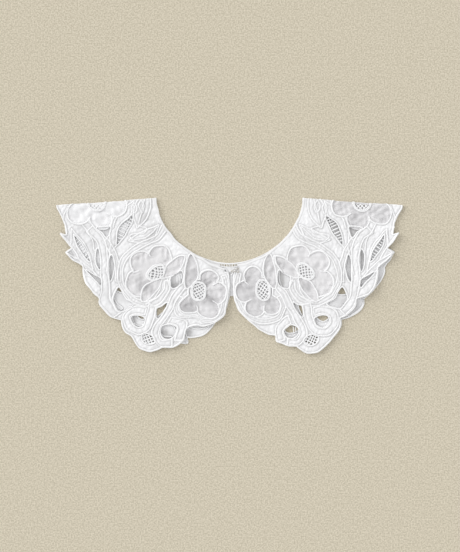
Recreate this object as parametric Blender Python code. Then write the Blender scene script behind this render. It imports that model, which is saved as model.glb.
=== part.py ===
"""A detachable cutwork collar, folded on both shoulder lines and laid flat with its fronts over its back.

Everything is drawn once as a flat plan, in millimetres, for the front at +X. The plan's zero is the middle
of the neck, level with the neck's corners on the shoulder folds: +x runs outwards and -y towards the hem.
The front at -X and the two halves of the back are the same plan mirrored and shifted a little, as hand
work is. Each piece is a cloth wall: its top follows the applique, its underside is plain. The finished
part has its origin under the middle of its outline, at PLAN_MIDDLE on the plan.
"""

import math
from collections import namedtuple

import bmesh
import bpy
import numpy as np
from mathutils import Matrix, Vector
from mathutils.geometry import delaunay_2d_cdt

MM = 0.001

# Neck, shoulder fold and cloth, in millimetres
NECK_HALF_WIDTH = 73.0
FRONT_NECK_DEPTH = 67.0
FRONT_NECK_POWER = 1.80
BACK_NECK_DEPTH = 65.0
BACK_NECK_POWER = 1.86
FOLD_SLOPE = 0.071
FOLD_HEIGHT = -1.1
WALL = 1.0
LAYER_GAP = 0.4
APPLIQUE = 0.6
STEP_WIDTH = 0.5
SEAM_GAP = 0.3
FOLD_TAB = 2.4
BINDING_WIDTH = 2.2
BACK_BAND_EXTRA = 2.6
BACK_BAND_REACH = 22.0
CORD_RADIUS = 0.45
HOOK_WIRE_RADIUS = 0.35
CENTRE_BACK_CUT = -98.0
CENTRE_BACK_EDGES = (-6.0, 9.0)
PLAN_MIDDLE = (0.0, -77.755)
CURVE_STEP = 3.6
FOLD_STEP = 7.0
RELIEF_STEP = 4.6
MERGE_WITHIN = 0.05
ON_LINE = 0.06
FRONT_BOTTOM = WALL + LAYER_GAP
FRONT_TOP = FRONT_BOTTOM + WALL

# Where lines start, end and pass, on the plan
HALF_NECK_LENGTH = 105.0
ABOVE_FOLD = 8.0
BINDING_FROM_X = 8.0
PANEL_NECK_FROM_X = 9.5
FOLD_LINE_SPAN = (67.0, 182.0)
WIDEST_FLOWER = 24.0
RING_MARGIN = 1.2
NET_RING_WIDTH = 1.9
NUDGES_FREE_AT = 12.0
UNDERSIDE_MARGIN = 3.0
UNDERSIDE_SPACING = 13.0
WIRE_STEP = 0.7
SMALLEST_AREA = 1e-6
SHARP_EDGE = math.radians(35)

Spot = namedtuple("Spot", "x y corner")
Petal = namedtuple("Petal", "reach angle radius")
Flower = namedtuple("Flower", "x y ring_long ring_wide ring_tilt petals")
Leaf = namedtuple("Leaf", "base_x base_y tip_x tip_y width bend")
Ribbon = namedtuple("Ribbon", "width spots")
Nudge = namedtuple("Nudge", "x y move_x move_y reach")
Swell = namedtuple("Swell", "x y height reach")
Finish = namedtuple("Finish", "colour roughness alpha metallic")

FINISHES = {
    "white_cotton": Finish((0.93, 0.93, 0.94), 0.85, 1.0, 0.0),
    "sheer_organdy": Finish((0.84, 0.84, 0.86), 0.60, 0.8, 0.0),
    "binding_tape": Finish((0.95, 0.95, 0.95), 0.75, 1.0, 0.0),
    "white_thread": Finish((0.95, 0.95, 0.95), 0.70, 1.0, 0.0),
    "enamelled_wire": Finish((0.80, 0.80, 0.80), 0.35, 1.0, 0.6),
}

# The front's free edge, from the shoulder fold round the hem to the neck corner
FREE_EDGE = [
    Spot(172.8, 6.0, True), Spot(172.8, -8.5, False), Spot(170.6, -13.5, False),
    Spot(165.4, -24.0, False), Spot(163.9, -30.5, False), Spot(163.2, -36.6, True),
    Spot(169.4, -35.0, True), Spot(163.6, -43.2, False), Spot(157.2, -50.0, True),
    Spot(164.4, -54.6, True), Spot(157.0, -62.4, False), Spot(148.4, -69.6, True),
    Spot(147.7, -78.0, False), Spot(146.0, -86.0, False), Spot(142.0, -92.6, False),
    Spot(136.6, -97.8, False), Spot(127.6, -101.4, True), Spot(126.2, -107.0, False),
    Spot(122.8, -112.0, False), Spot(117.6, -116.6, False), Spot(111.0, -120.4, True),
    Spot(111.4, -126.0, False),
    Spot(109.2, -133.0, False), Spot(102.6, -140.2, True), Spot(97.6, -146.6, False),
    Spot(89.2, -153.2, False), Spot(80.0, -155.6, False), Spot(72.8, -153.2, False),
    Spot(67.2, -148.6, True), Spot(60.0, -148.4, False), Spot(52.6, -145.4, False),
    Spot(46.8, -143.6, True), Spot(46.2, -137.8, True), Spot(36.8, -135.2, False),
    Spot(25.6, -128.2, False), Spot(17.0, -120.6, False), Spot(9.2, -112.4, False),
    Spot(5.2, -103.0, False), Spot(3.8, -93.0, False), Spot(3.7, -82.0, False),
    Spot(4.2, -75.0, False), Spot(5.4, -71.6, False), Spot(8.2, -69.9, True),
]

# Openings cut right through the cloth, a few points round each
CUTWORK = {
    "under_shoulder_flower": [
        (119.0, -29.4), (126.0, -28.6), (132.6, -30.2), (127.2, -34.4), (122.4, -39.4)],
    "between_stems": [
        (118.4, -57.0), (121.0, -64.0), (122.0, -76.0), (121.2, -84.4), (117.4, -76.0), (115.6, -66.0)],
    "stem_slit": [
        (132.0, -50.6), (134.4, -58.0), (134.2, -67.0), (131.6, -72.8), (129.8, -66.0), (130.2, -57.0)],
    "beside_ring": [(112.6, -89.6), (117.2, -100.4), (110.4, -110.6), (97.4, -105.4), (106.4, -99.4)],
    "between_flowers": [(49.4, -73.0), (59.6, -79.0), (58.8, -90.0), (49.0, -85.0)],
    "under_flowers": [(63.2, -104.0), (68.4, -106.0), (72.8, -108.4), (73.0, -118.8), (66.6, -112.6)],
    "outer_curl": [
        (84.8, -120.6), (91.0, -117.6), (98.2, -118.4), (99.2, -124.6), (93.8, -129.6), (87.4, -127.0)],
    "inner_curl": [
        (54.8, -132.4), (60.6, -126.8), (67.2, -128.6), (68.8, -135.4), (62.6, -140.0), (56.4, -138.6)],
    "under_leaf_tip": [
        (130.4, -82.6), (138.4, -77.8), (145.0, -73.6), (140.2, -80.0), (134.6, -85.6), (131.2, -89.0)],
}

FLOWERS = {
    "opening": Flower(33.6, -92.2, 11.0, 7.8, 96.0, [
        Petal(20.8, 80.0, 7.2), Petal(17.4, 124.0, 8.6), Petal(16.6, 184.0, 10.4), Petal(18.0, 245.0, 9.6),
        Petal(17.0, 300.0, 8.6)]),
    "middle": Flower(75.6, -73.6, 10.4, 7.2, -40.0, [
        Petal(17.6, 106.0, 9.6), Petal(17.0, 44.0, 11.6), Petal(16.6, -22.0, 13.6), Petal(19.6, -76.0, 8.4),
        Petal(18.6, 160.0, 8.6)]),
    "shoulder": Flower(132.5, -4.4, 9.6, 9.6, 0.0, [
        Petal(19.4, 190.0, 10.4), Petal(16.2, 256.0, 11.0), Petal(20.6, 329.0, 11.0)]),
}

LEAVES = {
    "neck_leaf": Leaf(80.5, 8.0, 92.0, -31.0, 16.0, 1.0),
    "sweeping_leaf": Leaf(70.0, -27.0, 101.0, -42.0, 12.0, -5.0),
    "barred_leaf": Leaf(95.0, -3.0, 117.4, -54.0, 16.0, 4.0),
    "outer_barred_leaf": Leaf(157.6, -31.0, 138.0, -73.0, 14.0, 1.5),
    "edge_leaf": Leaf(148.6, -68.0, 168.0, -36.0, 8.5, -1.5),
    "tip_leaf": Leaf(131.0, -84.0, 162.6, -55.2, 10.0, -1.5),
    "hem_leaf": Leaf(127.8, -100.6, 148.0, -72.0, 12.0, -1.0),
}

RIBBONS = {
    "flower_ring": Ribbon(5.0, [
        (64.0, -27.0), (70.5, -38.4), (86.7, -46.6), (101.0, -56.0), (108.4, -68.0), (109.0, -84.0),
        (102.0, -97.0), (87.0, -105.4), (71.5, -101.6), (63.6, -92.0), (63.0, -83.0)]),
    "inner_stem": Ribbon(5.6, [(124.0, -42.0), (117.0, -54.0), (112.2, -70.0), (111.6, -84.0)]),
    "long_stem": Ribbon(8.0, [
        (140.0, -31.0), (128.6, -43.0), (125.8, -62.0), (126.0, -84.0), (122.6, -102.0), (113.0, -114.0)]),
    "crossing_band": Ribbon(6.4, [
        (47.4, -58.0), (46.6, -72.0), (47.4, -86.0), (55.0, -97.0), (60.4, -108.0), (68.0, -121.0),
        (74.4, -134.0), (68.6, -143.4), (58.0, -143.8)]),
    "outer_curl": Ribbon(7.6, [
        (77.0, -106.0), (79.6, -120.0), (84.6, -131.0), (96.0, -134.0), (104.4, -126.4), (103.4, -115.6),
        (93.6, -112.0), (84.0, -113.4)]),
    "inner_curl": Ribbon(7.6, [
        (52.0, -142.6), (49.8, -133.6), (54.0, -125.0), (60.4, -121.6)]),
    "opening_border": Ribbon(4.6, [
        (50.0, -98.0), (54.2, -107.0), (50.6, -117.6), (40.0, -123.4), (26.0, -121.6), (13.0, -111.6),
        (7.4, -97.0), (7.6, -82.0), (9.6, -75.0)]),
}

# How the hand-sewn copies differ from the plan
FRONT_LEFT_NUDGES = [
    Nudge(8.0, -90.0, -4.6, 0.0, 30.0), Nudge(14.0, -117.0, -3.6, -2.5, 11.0),
    Nudge(42.0, -134.0, -3.5, 9.5, 8.5), Nudge(51.0, -146.5, 0.0, -3.6, 5.5),
    Nudge(68.0, -112.0, 0.0, -2.6, 8.0), Nudge(6.0, -66.0, 0.0, -4.2, 8.5),
    Nudge(26.0, -74.0, 0.0, -4.0, 7.5), Nudge(16.0, -91.0, 2.4, -0.8, 7.0),
    Nudge(4.0, -105.0, 2.6, 0.0, 6.0), Nudge(126.0, -104.0, 5.5, -0.8, 5.5),
    Nudge(108.0, -102.0, -3.0, -2.5, 7.0), Nudge(117.0, -114.0, 1.5, -4.0, 7.0),
    Nudge(75.0, -74.0, -4.0, -1.6, 7.0),
    Nudge(67.0, -149.0, 0.0, -2.0, 7.0), Nudge(80.0, -155.0, 1.0, 2.2, 9.0),
    Nudge(99.0, -142.0, -3.5, 2.0, 9.0), Nudge(110.0, -127.0, -3.4, 0.0, 9.0),
    Nudge(140.0, -92.0, -3.0, 2.0, 20.0)]
BACK_RIGHT_NUDGES = [
    Nudge(151.0, -74.0, 7.5, 0.0, 11.0), Nudge(124.0, -105.0, 7.5, 0.0, 7.5),
    Nudge(120.0, -115.0, 1.8, -1.8, 10.0)]
BACK_LEFT_NUDGES = [
    Nudge(8.0, -90.0, -4.2, 0.0, 26.0), Nudge(14.0, -117.0, -2.5, 0.0, 11.0),
    Nudge(28.0, -132.0, -1.5, -7.0, 10.0), Nudge(48.0, -143.0, -5.0, -2.0, 5.5),
    Nudge(70.0, -151.0, 0.0, 4.0, 14.0),
    Nudge(99.0, -142.0, -5.0, 4.0, 12.0), Nudge(112.0, -127.0, -4.5, 1.0, 11.0),
    Nudge(140.0, -92.0, -5.0, 3.0, 20.0)]
NUDGES = {
    "front_right": [],
    "front_left": FRONT_LEFT_NUDGES,
    "back_right": BACK_RIGHT_NUDGES,
    "back_left": BACK_LEFT_NUDGES,
    "cutwork_back_right": BACK_RIGHT_NUDGES + [
        Nudge(63.0, -103.0, 5.0, 0.0, 6.0), Nudge(68.0, -113.0, 2.6, 0.0, 7.0),
        Nudge(62.0, -138.0, 0.6, 6.0, 8.0), Nudge(92.0, -123.0, 1.0, 8.6, 10.0),
        Nudge(108.0, -100.0, 0.0, 15.0, 11.0), Nudge(110.0, -111.0, 0.0, 5.5, 6.0)],
    "cutwork_back_left": BACK_LEFT_NUDGES + [
        Nudge(92.0, -123.0, -4.0, 7.5, 10.0), Nudge(108.0, -100.0, 0.0, 15.0, 11.0),
        Nudge(110.0, -111.0, 0.0, 5.5, 6.0), Nudge(68.0, -112.0, 0.0, -1.6, 8.0)],
    "as_drawn": [],
}

# Openings of the front behind which the back's cloth is whole
CLOSED_BEHIND = {
    "cutwork_back_right": [
        "under_leaf_tip", "between_stems", "stem_slit", "between_flowers", "under_shoulder_flower"],
    "cutwork_back_left": [
        "under_leaf_tip", "between_stems", "stem_slit", "between_flowers", "under_shoulder_flower",
        "inner_curl"],
}

# Where each front stands clear of the back
SWELLS = [
    Swell(16.0, -112.0, 1.3, 17.0), Swell(72.0, -150.0, 1.0, 20.0), Swell(140.0, -92.0, 1.8, 16.0),
    Swell(164.0, -44.0, 1.2, 10.0), Swell(100.0, -72.0, 0.9, 14.0), Swell(52.0, -96.0, 0.8, 12.0),
]
SWELL_FREE_FROM = 5.0
SWELL_FULL_AT = 30.0

# The closure: a worked thread loop on the front at -X, and a wire hook on the other, in true places
THREAD_LOOP_ROUTE = [
    (-0.2, -73.4), (1.0, -73.0), (2.3, -73.6), (3.0, -74.9), (2.5, -76.3), (1.6, -76.9), (0.6, -76.8)]
HOOK_ROUTE = [
    (8.1, -71.7), (8.9, -71.6), (9.3, -70.8), (8.6, -70.1), (7.7, -70.2), (6.7, -71.0),
    (4.3, -72.0), (2.4, -72.5), (1.5, -73.2), (2.4, -73.8), (4.3, -73.8), (6.7, -73.6),
    (7.7, -74.4), (8.6, -74.5), (9.3, -73.8), (8.9, -73.0), (8.1, -72.9)]


def fold_y(x):
    """The shoulder fold's y at a distance x from the centre."""
    return FOLD_HEIGHT - FOLD_SLOPE * (x - NECK_HALF_WIDTH)


def in_front_of_fold(points):
    """Which plan points lie on the front, clear of the shoulder fold's own line."""
    return points[:, 1] < fold_y(points[:, 0]) - ON_LINE


def neck_curve(depth, power, offset, step=CURVE_STEP):
    """The neck from above the fold down to the centre, moved offset outwards into the cloth."""
    count = math.ceil(HALF_NECK_LENGTH / step)
    points = [(NECK_HALF_WIDTH + offset, ABOVE_FOLD)]
    for k in range(count + 1):
        angle = math.pi / 2 * k / count
        x = NECK_HALF_WIDTH * math.cos(angle) ** (2 / power)
        y = depth * math.sin(angle) ** (2 / power)
        slope_x = (x / NECK_HALF_WIDTH) ** (power - 1) / NECK_HALF_WIDTH
        slope_y = (y / depth) ** (power - 1) / depth
        size = math.hypot(slope_x, slope_y)
        points.append((x + offset * slope_x / size, -y - offset * slope_y / size))
    return points


def smooth_run(points, step, closed=False):
    """Points about step apart on a Catmull-Rom curve through the given ones."""
    count = len(points)
    spans = count if closed else count - 1
    run = []
    for k in range(spans):
        p1, p2 = points[k], points[(k + 1) % count]
        first, last = k == 0 and not closed, k == spans - 1 and not closed
        p0 = tuple(2 * a - b for a, b in zip(p1, p2)) if first else points[k - 1]
        p3 = tuple(2 * b - a for a, b in zip(p1, p2)) if last else points[(k + 2) % count]
        pieces = max(1, round(math.dist(p1, p2) / step))
        for i in range(pieces):
            t = i / pieces
            run.append(tuple(
                b + 0.5 * ((c - a) * t + (2 * a - 5 * b + 4 * c - d) * t**2 + (3 * b - 3 * c + d - a) * t**3)
                for a, b, c, d in zip(p0, p1, p2, p3)))
    if not closed:
        run.append(tuple(points[-1]))
    return run


def edge_with_corners(spots, step):
    """The curve through a row of spots, sharp at those marked as corners."""
    corners = [k for k, spot in enumerate(spots) if spot.corner]
    edge = []
    for first, last in zip(corners, corners[1:]):
        edge += smooth_run([(s.x, s.y) for s in spots[first:last + 1]], step)[:-1]
    return edge + [(spots[-1].x, spots[-1].y)]


def flower_outline(flower, grow, step):
    """The petals' scalloped outline: the furthest petal or ring edge in each direction from the centre."""
    count = round(2 * math.pi * WIDEST_FLOWER / step)
    outline = []
    for k in range(count):
        angle = 2 * math.pi * k / count
        turn = angle - math.radians(flower.ring_tilt)
        reach = RING_MARGIN + 1 / math.hypot(
            math.cos(turn) / flower.ring_long, math.sin(turn) / flower.ring_wide)
        for petal in flower.petals:
            away = angle - math.radians(petal.angle)
            across = petal.reach * math.sin(away)
            if abs(across) < petal.radius and math.cos(away) > 0:
                reach = max(reach, petal.reach * math.cos(away) + math.sqrt(petal.radius**2 - across**2))
        reach += grow
        outline.append((flower.x + reach * math.cos(angle), flower.y + reach * math.sin(angle)))
    return outline


def ring_outline(flower, grow, count=16):
    """The ellipse round the net in a flower's centre."""
    tilt = math.radians(flower.ring_tilt)
    outline = []
    for k in range(count):
        angle = 2 * math.pi * k / count
        along = (flower.ring_long + grow) * math.cos(angle)
        across = (flower.ring_wide + grow) * math.sin(angle)
        outline.append((flower.x + along * math.cos(tilt) - across * math.sin(tilt),
                        flower.y + along * math.sin(tilt) + across * math.cos(tilt)))
    return outline


def leaf_outline(leaf, grow, step):
    """A pointed leaf: half its width grows as a sine from base to tip, on a line bowed by bend."""
    length = math.hypot(leaf.tip_x - leaf.base_x, leaf.tip_y - leaf.base_y)
    ux, uy = (leaf.tip_x - leaf.base_x) / length, (leaf.tip_y - leaf.base_y) / length
    count = max(4, round(length / step))
    sides = {1: [], -1: []}
    for k in range(count + 1):
        t = k / count
        along = -grow + (length + 2 * grow) * t
        half = (leaf.width / 2 + grow) * math.sin(math.pi * t)
        bow = leaf.bend * math.sin(math.pi * t)
        for side, points in sides.items():
            off = bow + side * half
            points.append((leaf.base_x + ux * along - uy * off, leaf.base_y + uy * along + ux * off))
    return sides[1] + sides[-1][-2:0:-1]


def ribbon_outline(ribbon, grow, step):
    """A band of even width round a smooth line, square at its ends."""
    line = smooth_run(ribbon.spots, step)
    sides = {1: [], -1: []}
    for k, (x, y) in enumerate(line):
        ax, ay = line[max(k - 1, 0)]
        bx, by = line[min(k + 1, len(line) - 1)]
        size = math.hypot(bx - ax, by - ay)
        for side, points in sides.items():
            off = side * (ribbon.width / 2 + grow)
            points.append((x - (by - ay) / size * off, y + (bx - ax) / size * off))
    return sides[1] + sides[-1][::-1]


def within_edges(a, b, points):
    """Which of the points lie within the edges from a to b, counted by the edges that lie to one side."""
    x, y = points[:, 0, None], points[:, 1, None]
    crosses = (a[:, 1] > y) != (b[:, 1] > y)
    rise = np.where(b[:, 1] == a[:, 1], 1.0, b[:, 1] - a[:, 1])
    meets = a[:, 0] + (y - a[:, 1]) * (b[:, 0] - a[:, 0]) / rise
    return (crosses & (x < meets)).sum(axis=1) % 2 == 1


def inside(loop, points):
    """Which of the points lie inside a closed loop."""
    loop, points = np.asarray(loop, float), np.asarray(points, float).reshape(-1, 2)
    return within_edges(loop, np.roll(loop, -1, axis=0), points)


def depth_inside(loop, points):
    """How far each point lies inside a closed loop, negative outside."""
    loop, points = np.asarray(loop, float), np.asarray(points, float).reshape(-1, 2)
    a, b = loop, np.roll(loop, -1, axis=0)
    span = b - a
    reach = points[:, None, :] - a
    t = np.clip((reach * span).sum(2) / (span * span).sum(1), 0, 1)
    away = np.linalg.norm(reach - t[:, :, None] * span, axis=2).min(axis=1)
    return np.where(inside(loop, points), away, -away)


def place(copy, points):
    """Plan points where one copy of the plan lies: shifted by its nudges, and mirrored on the left."""
    points = np.asarray(points, float).reshape(-1, 2)
    moved = points.copy()
    for nudge in NUDGES[copy]:
        away = np.hypot(points[:, 0] - nudge.x, points[:, 1] - nudge.y)
        share = np.exp(-0.5 * (away / nudge.reach) ** 2)
        moved += share[:, None] * np.array([nudge.move_x, nudge.move_y])
    settle = np.clip((fold_y(points[:, 0]) - points[:, 1]) / NUDGES_FREE_AT, 0, 1)[:, None]
    moved = points + (moved - points) * settle
    if copy.endswith("left"):
        moved[:, 0] *= -1
    return moved


def swell(points):
    """How far the front stands above its resting level at each plan point."""
    points = np.asarray(points, float).reshape(-1, 2)
    rise = sum(s.height * np.exp(-0.5 * (np.hypot(points[:, 0] - s.x, points[:, 1] - s.y) / s.reach) ** 2)
               for s in SWELLS)
    from_fold = fold_y(points[:, 0]) - points[:, 1]
    share = np.clip((from_fold - SWELL_FREE_FROM) / (SWELL_FULL_AT - SWELL_FREE_FROM), 0, 1)
    return rise * share * share * (3 - 2 * share)


def cut_flat(loops, keep, extra=()):
    """Triangles that fill a plan region whose edges are in loops, and the points that they use."""
    points, edges = [], []
    for loop, closed in loops:
        first = len(points)
        points += [Vector(p) for p in loop]
        edges += [(first + k, first + k + 1) for k in range(len(loop) - 1)]
        if closed:
            edges.append((first + len(loop) - 1, first))
    points += [Vector(p) for p in extra]
    found, _, faces, *_ = delaunay_2d_cdt(points, edges, [], 0, MERGE_WITHIN)
    found = np.array([tuple(p) for p in found])
    faces = np.array([f for f in faces if len(f) == 3])
    area = np.cross(found[faces[:, 1]] - found[faces[:, 0]], found[faces[:, 2]] - found[faces[:, 0]])
    faces = np.where((area < 0)[:, None], faces[:, ::-1], faces)
    kept = keep(found[faces].mean(axis=1)) & (np.abs(area) > SMALLEST_AREA)
    return found, faces[kept]


def rim(faces):
    """The directed edges that only one triangle has."""
    ends = {(int(a), int(b)) for f in faces for a, b in zip(f, np.roll(f, -1))}
    return sorted((a, b) for a, b in ends if (b, a) not in ends)


def fold_section():
    """Outer and inner points of the wall as it rolls over the fold: how far past the fold, and how high."""
    middle = FRONT_TOP / 2
    outer, inner = [(0.0, FRONT_TOP)], [(0.0, FRONT_BOTTOM)]
    for degrees in (45, 0, -45):
        c, s = math.cos(math.radians(degrees)), math.sin(math.radians(degrees))
        outer.append((middle * c, middle + middle * s))
        inner.append((LAYER_GAP / 2 * c, middle + LAYER_GAP / 2 * s))
    outer += [(0.0, 0.0), (-FOLD_TAB, 0.0)]
    inner += [(0.0, WALL), (-FOLD_TAB, WALL)]
    return outer, inner


def sew_wall(name, copy, loops, keep, top_height, bottom_height, extra_below=(), on_fold=True):
    """One closed cloth wall over a plan region: top, plain underside, rims, and the roll over the fold."""
    points, faces = cut_flat(loops, keep)
    edges = rim(faces)
    used = sorted({int(k) for f in faces for k in f})
    high = dict(zip(used, top_height(points[used])))
    rim_ends = sorted({k for e in edges for k in e})
    starts, ends = points[[a for a, _ in edges]], points[[b for _, b in edges]]
    low_points, low_faces = cut_flat(
        [([tuple(p), tuple(q)], False) for p, q in zip(starts, ends)],
        lambda p: within_edges(starts, ends, p), extra_below)
    same_place = {tuple(np.round(p, 3)): k for k, p in enumerate(low_points)}
    low_of = {k: same_place[tuple(np.round(points[k], 3))] for k in rim_ends}
    low = bottom_height(low_points)
    mesh = bmesh.new()

    def corner(point, z):
        x, y = place(copy, point)[0]
        return mesh.verts.new((x * MM, y * MM, z * MM))

    top = {k: corner(points[k], high[k]) for k in used}
    used_low = sorted({int(k) for f in low_faces for k in f})
    bottom = {k: corner(low_points[k], low[k]) for k in used_low}
    for f in faces:
        mesh.faces.new([top[int(k)] for k in f])
    for f in low_faces:
        mesh.faces.new([bottom[int(k)] for k in reversed(f)])
    outer, inner = fold_section()
    slant = math.hypot(1.0, FOLD_SLOPE)
    rolls = {}

    def roll(k):
        """The fold's section at one rim point, as outer and inner corners."""
        if k not in rolls:
            x, y = points[k]
            outs, ins = (
                [corner((x + d * FOLD_SLOPE / slant, y + d / slant), z) for d, z in line[1:]]
                for line in (outer, inner))
            rolls[k] = [top[k]] + outs, [bottom[low_of[k]]] + ins
        return rolls[k]

    at_fold = {k for k in rim_ends if on_fold and abs(points[k][1] - fold_y(points[k][0])) < ON_LINE}
    fold_edges = [(a, b) for a, b in edges if a in at_fold and b in at_fold]
    for a, b in edges:
        if (a, b) not in fold_edges:
            mesh.faces.new([top[b], top[a], bottom[low_of[a]], bottom[low_of[b]]])
            continue
        (outs_a, ins_a), (outs_b, ins_b) = roll(a), roll(b)
        chain_a, chain_b = outs_a + ins_a[::-1], outs_b + ins_b[::-1]
        for k in range(len(chain_a) - 1):
            mesh.faces.new([chain_b[k], chain_a[k], chain_a[k + 1], chain_b[k + 1]])
    meets = [k for e in fold_edges for k in e]
    for k in sorted(set(meets)):
        if meets.count(k) == 1:
            outs, ins = rolls[k]
            for i in range(len(outs) - 1):
                mesh.faces.new([outs[i], outs[i + 1], ins[i + 1], ins[i]])
    bmesh.ops.recalc_face_normals(mesh, faces=mesh.faces)
    bmesh.ops.triangulate(mesh, faces=[f for f in mesh.faces if len(f.verts) > 3])
    data = bpy.data.meshes.new(name)
    mesh.to_mesh(data)
    mesh.free()
    data.shade_smooth()
    data.set_sharp_from_angle(angle=SHARP_EDGE)
    thing = bpy.data.objects.new(name, data)
    bpy.context.scene.collection.objects.link(thing)
    return thing


def spaced_fold_line(lower=0.0):
    """The fold from inside the neck to past the outer corner, moved lower into the cloth."""
    slant = math.hypot(1.0, FOLD_SLOPE)
    start, stop = FOLD_LINE_SPAN
    count = round((stop - start) / FOLD_STEP)
    xs = [start + (stop - start) * k / count for k in range(count + 1)]
    return [(x, fold_y(x) - lower * slant) for x in xs]


def free_outline(offset, depth, power):
    """The whole panel's edge: the free edge, then the neck moved offset into the cloth."""
    neck = [p for p in neck_curve(depth, power, offset) if p[0] > PANEL_NECK_FROM_X]
    return edge_with_corners(FREE_EDGE, CURVE_STEP) + neck[::-1]


def cutwork_loops(copy=None):
    """The edge of every opening that this copy has, rounded between its points."""
    closed = CLOSED_BEHIND.get(copy, [])
    return [smooth_run(loop, CURVE_STEP, closed=True) for name, loop in CUTWORK.items() if name not in closed]


def applique():
    """Every raised shape's outline, drawn just inside its step, with the same shape just outside it."""
    sides = (-STEP_WIDTH / 2, STEP_WIDTH / 2)
    shapes = [[leaf_outline(leaf, side, RELIEF_STEP) for side in sides] for leaf in LEAVES.values()]
    shapes += [[ribbon_outline(ribbon, side, RELIEF_STEP) for side in sides] for ribbon in RIBBONS.values()]
    return shapes


def raised(points, shapes):
    """The applique's height at each plan point, dying out just before the fold."""
    points = np.asarray(points, float).reshape(-1, 2)
    height = np.zeros(len(points))
    for within, _ in shapes:
        height = np.maximum(height, step_up(depth_inside(within, points)))
    return height * clear_of_fold(points)


def step_up(depth):
    """The applique's height at a depth inside its outline, over the step's own width."""
    return APPLIQUE * np.clip(1 + depth / (STEP_WIDTH * 0.9), 0, 1)


def clear_of_fold(points):
    """0 on the fold's line and 1 from a millimetre or so inside it, so that what is raised ends there."""
    return np.clip(fold_y(points[:, 0]) - points[:, 1] - 0.2, 0, 1)


def spots_below(well_inside, outline):
    """Evenly spaced plan points well inside a region, where the underside may bend."""
    low_x, low_y = np.min(outline, axis=0)
    high_x, high_y = np.max(outline, axis=0)
    xs, ys = np.arange(low_x, high_x, UNDERSIDE_SPACING), np.arange(low_y, high_y, UNDERSIDE_SPACING)
    grid = np.array([(x, y) for x in xs for y in ys])
    return [tuple(p) for p in grid[well_inside(grid)]]


def dress(thing, name):
    """Gives a piece one of the collar's five finishes."""
    finish = FINISHES[name]
    material = bpy.data.materials.get(name) or bpy.data.materials.new(name)
    material.use_nodes = True
    shader = material.node_tree.nodes["Principled BSDF"]
    shader.inputs["Base Color"].default_value = (*finish.colour, 1.0)
    shader.inputs["Roughness"].default_value = finish.roughness
    shader.inputs["Alpha"].default_value = finish.alpha
    shader.inputs["Metallic"].default_value = finish.metallic
    thing.data.materials.clear()
    thing.data.materials.append(material)


def make_front(copy):
    """A front panel with its cutwork, its three let-in flowers left open, and its raised applique."""
    outline = free_outline(BINDING_WIDTH + SEAM_GAP, FRONT_NECK_DEPTH, FRONT_NECK_POWER)
    cuts = cutwork_loops()
    flowers = [flower_outline(f, SEAM_GAP * 1.5, CURVE_STEP) for f in FLOWERS.values()]
    shapes = applique()

    def keep(points):
        held = inside(outline, points) & in_front_of_fold(points)
        for hole in cuts + flowers:
            held &= ~inside(hole, points)
        return held

    def well_inside(points):
        held = depth_inside(outline, points) > UNDERSIDE_MARGIN
        held &= fold_y(points[:, 0]) - points[:, 1] > UNDERSIDE_MARGIN
        for hole in cuts + flowers:
            held &= depth_inside(hole, points) < -UNDERSIDE_MARGIN
        return held

    loops = [(outline, True), (spaced_fold_line(), False)]
    loops += [(hole, True) for hole in cuts + flowers]
    loops += [(loop, True) for pair in shapes for loop in pair]
    thing = sew_wall(
        copy, copy, loops, keep,
        lambda p: FRONT_TOP + swell(p) + raised(p, shapes), lambda p: FRONT_BOTTOM + swell(p),
        spots_below(well_inside, outline))
    dress(thing, "white_cotton")


def make_petals(copy, label):
    """One sheer flower let into a front, with its net's ring raised."""
    flower = FLOWERS[label]
    outline = flower_outline(flower, 0.0, CURVE_STEP)
    sides = (-STEP_WIDTH / 2, STEP_WIDTH / 2)
    rings = [ring_outline(flower, side) for side in sides]
    nets = [ring_outline(flower, -side - STEP_WIDTH - NET_RING_WIDTH, 12) for side in sides]

    def keep(points):
        return inside(outline, points) & in_front_of_fold(points)

    def top(points):
        band = np.minimum(depth_inside(rings[0], points), -depth_inside(nets[0], points))
        return FRONT_TOP + swell(points) + step_up(band) * clear_of_fold(points)

    loops = [(outline, True)] + [(loop, True) for loop in rings + nets]
    if label == "shoulder":
        loops.append((spaced_fold_line(), False))
    thing = sew_wall(f"petals_{label}_{copy}", copy, loops, keep, top, lambda p: FRONT_BOTTOM + swell(p))
    dress(thing, "sheer_organdy")


def make_front_binding(copy):
    """The narrow band that edges a front's neck, from the front corner round the shoulder fold."""
    outer, middle, inner = (
        [p for p in neck_curve(FRONT_NECK_DEPTH, FRONT_NECK_POWER, offset) if p[0] > BINDING_FROM_X]
        for offset in (0.0, BINDING_WIDTH / 2, BINDING_WIDTH))
    outline = outer + inner[::-1]

    def keep(points):
        return inside(outline, points) & in_front_of_fold(points)

    def top(points):
        ridge = np.clip(depth_inside(outline, points) / (BINDING_WIDTH / 2), 0, 1)
        return FRONT_TOP + swell(points) + APPLIQUE * ridge * clear_of_fold(points)

    loops = [(outline, True), (middle[:-1], False), (spaced_fold_line(), False)]
    thing = sew_wall(f"neck_binding_{copy}", copy, loops, keep, top, lambda p: FRONT_BOTTOM + swell(p))
    dress(thing, "binding_tape")


def back_band_width(x):
    """The back neck band is wider round the centre back, where its openwork shows."""
    return BINDING_WIDTH + BACK_BAND_EXTRA * math.exp(-(x / BACK_BAND_REACH) ** 2)


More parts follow.
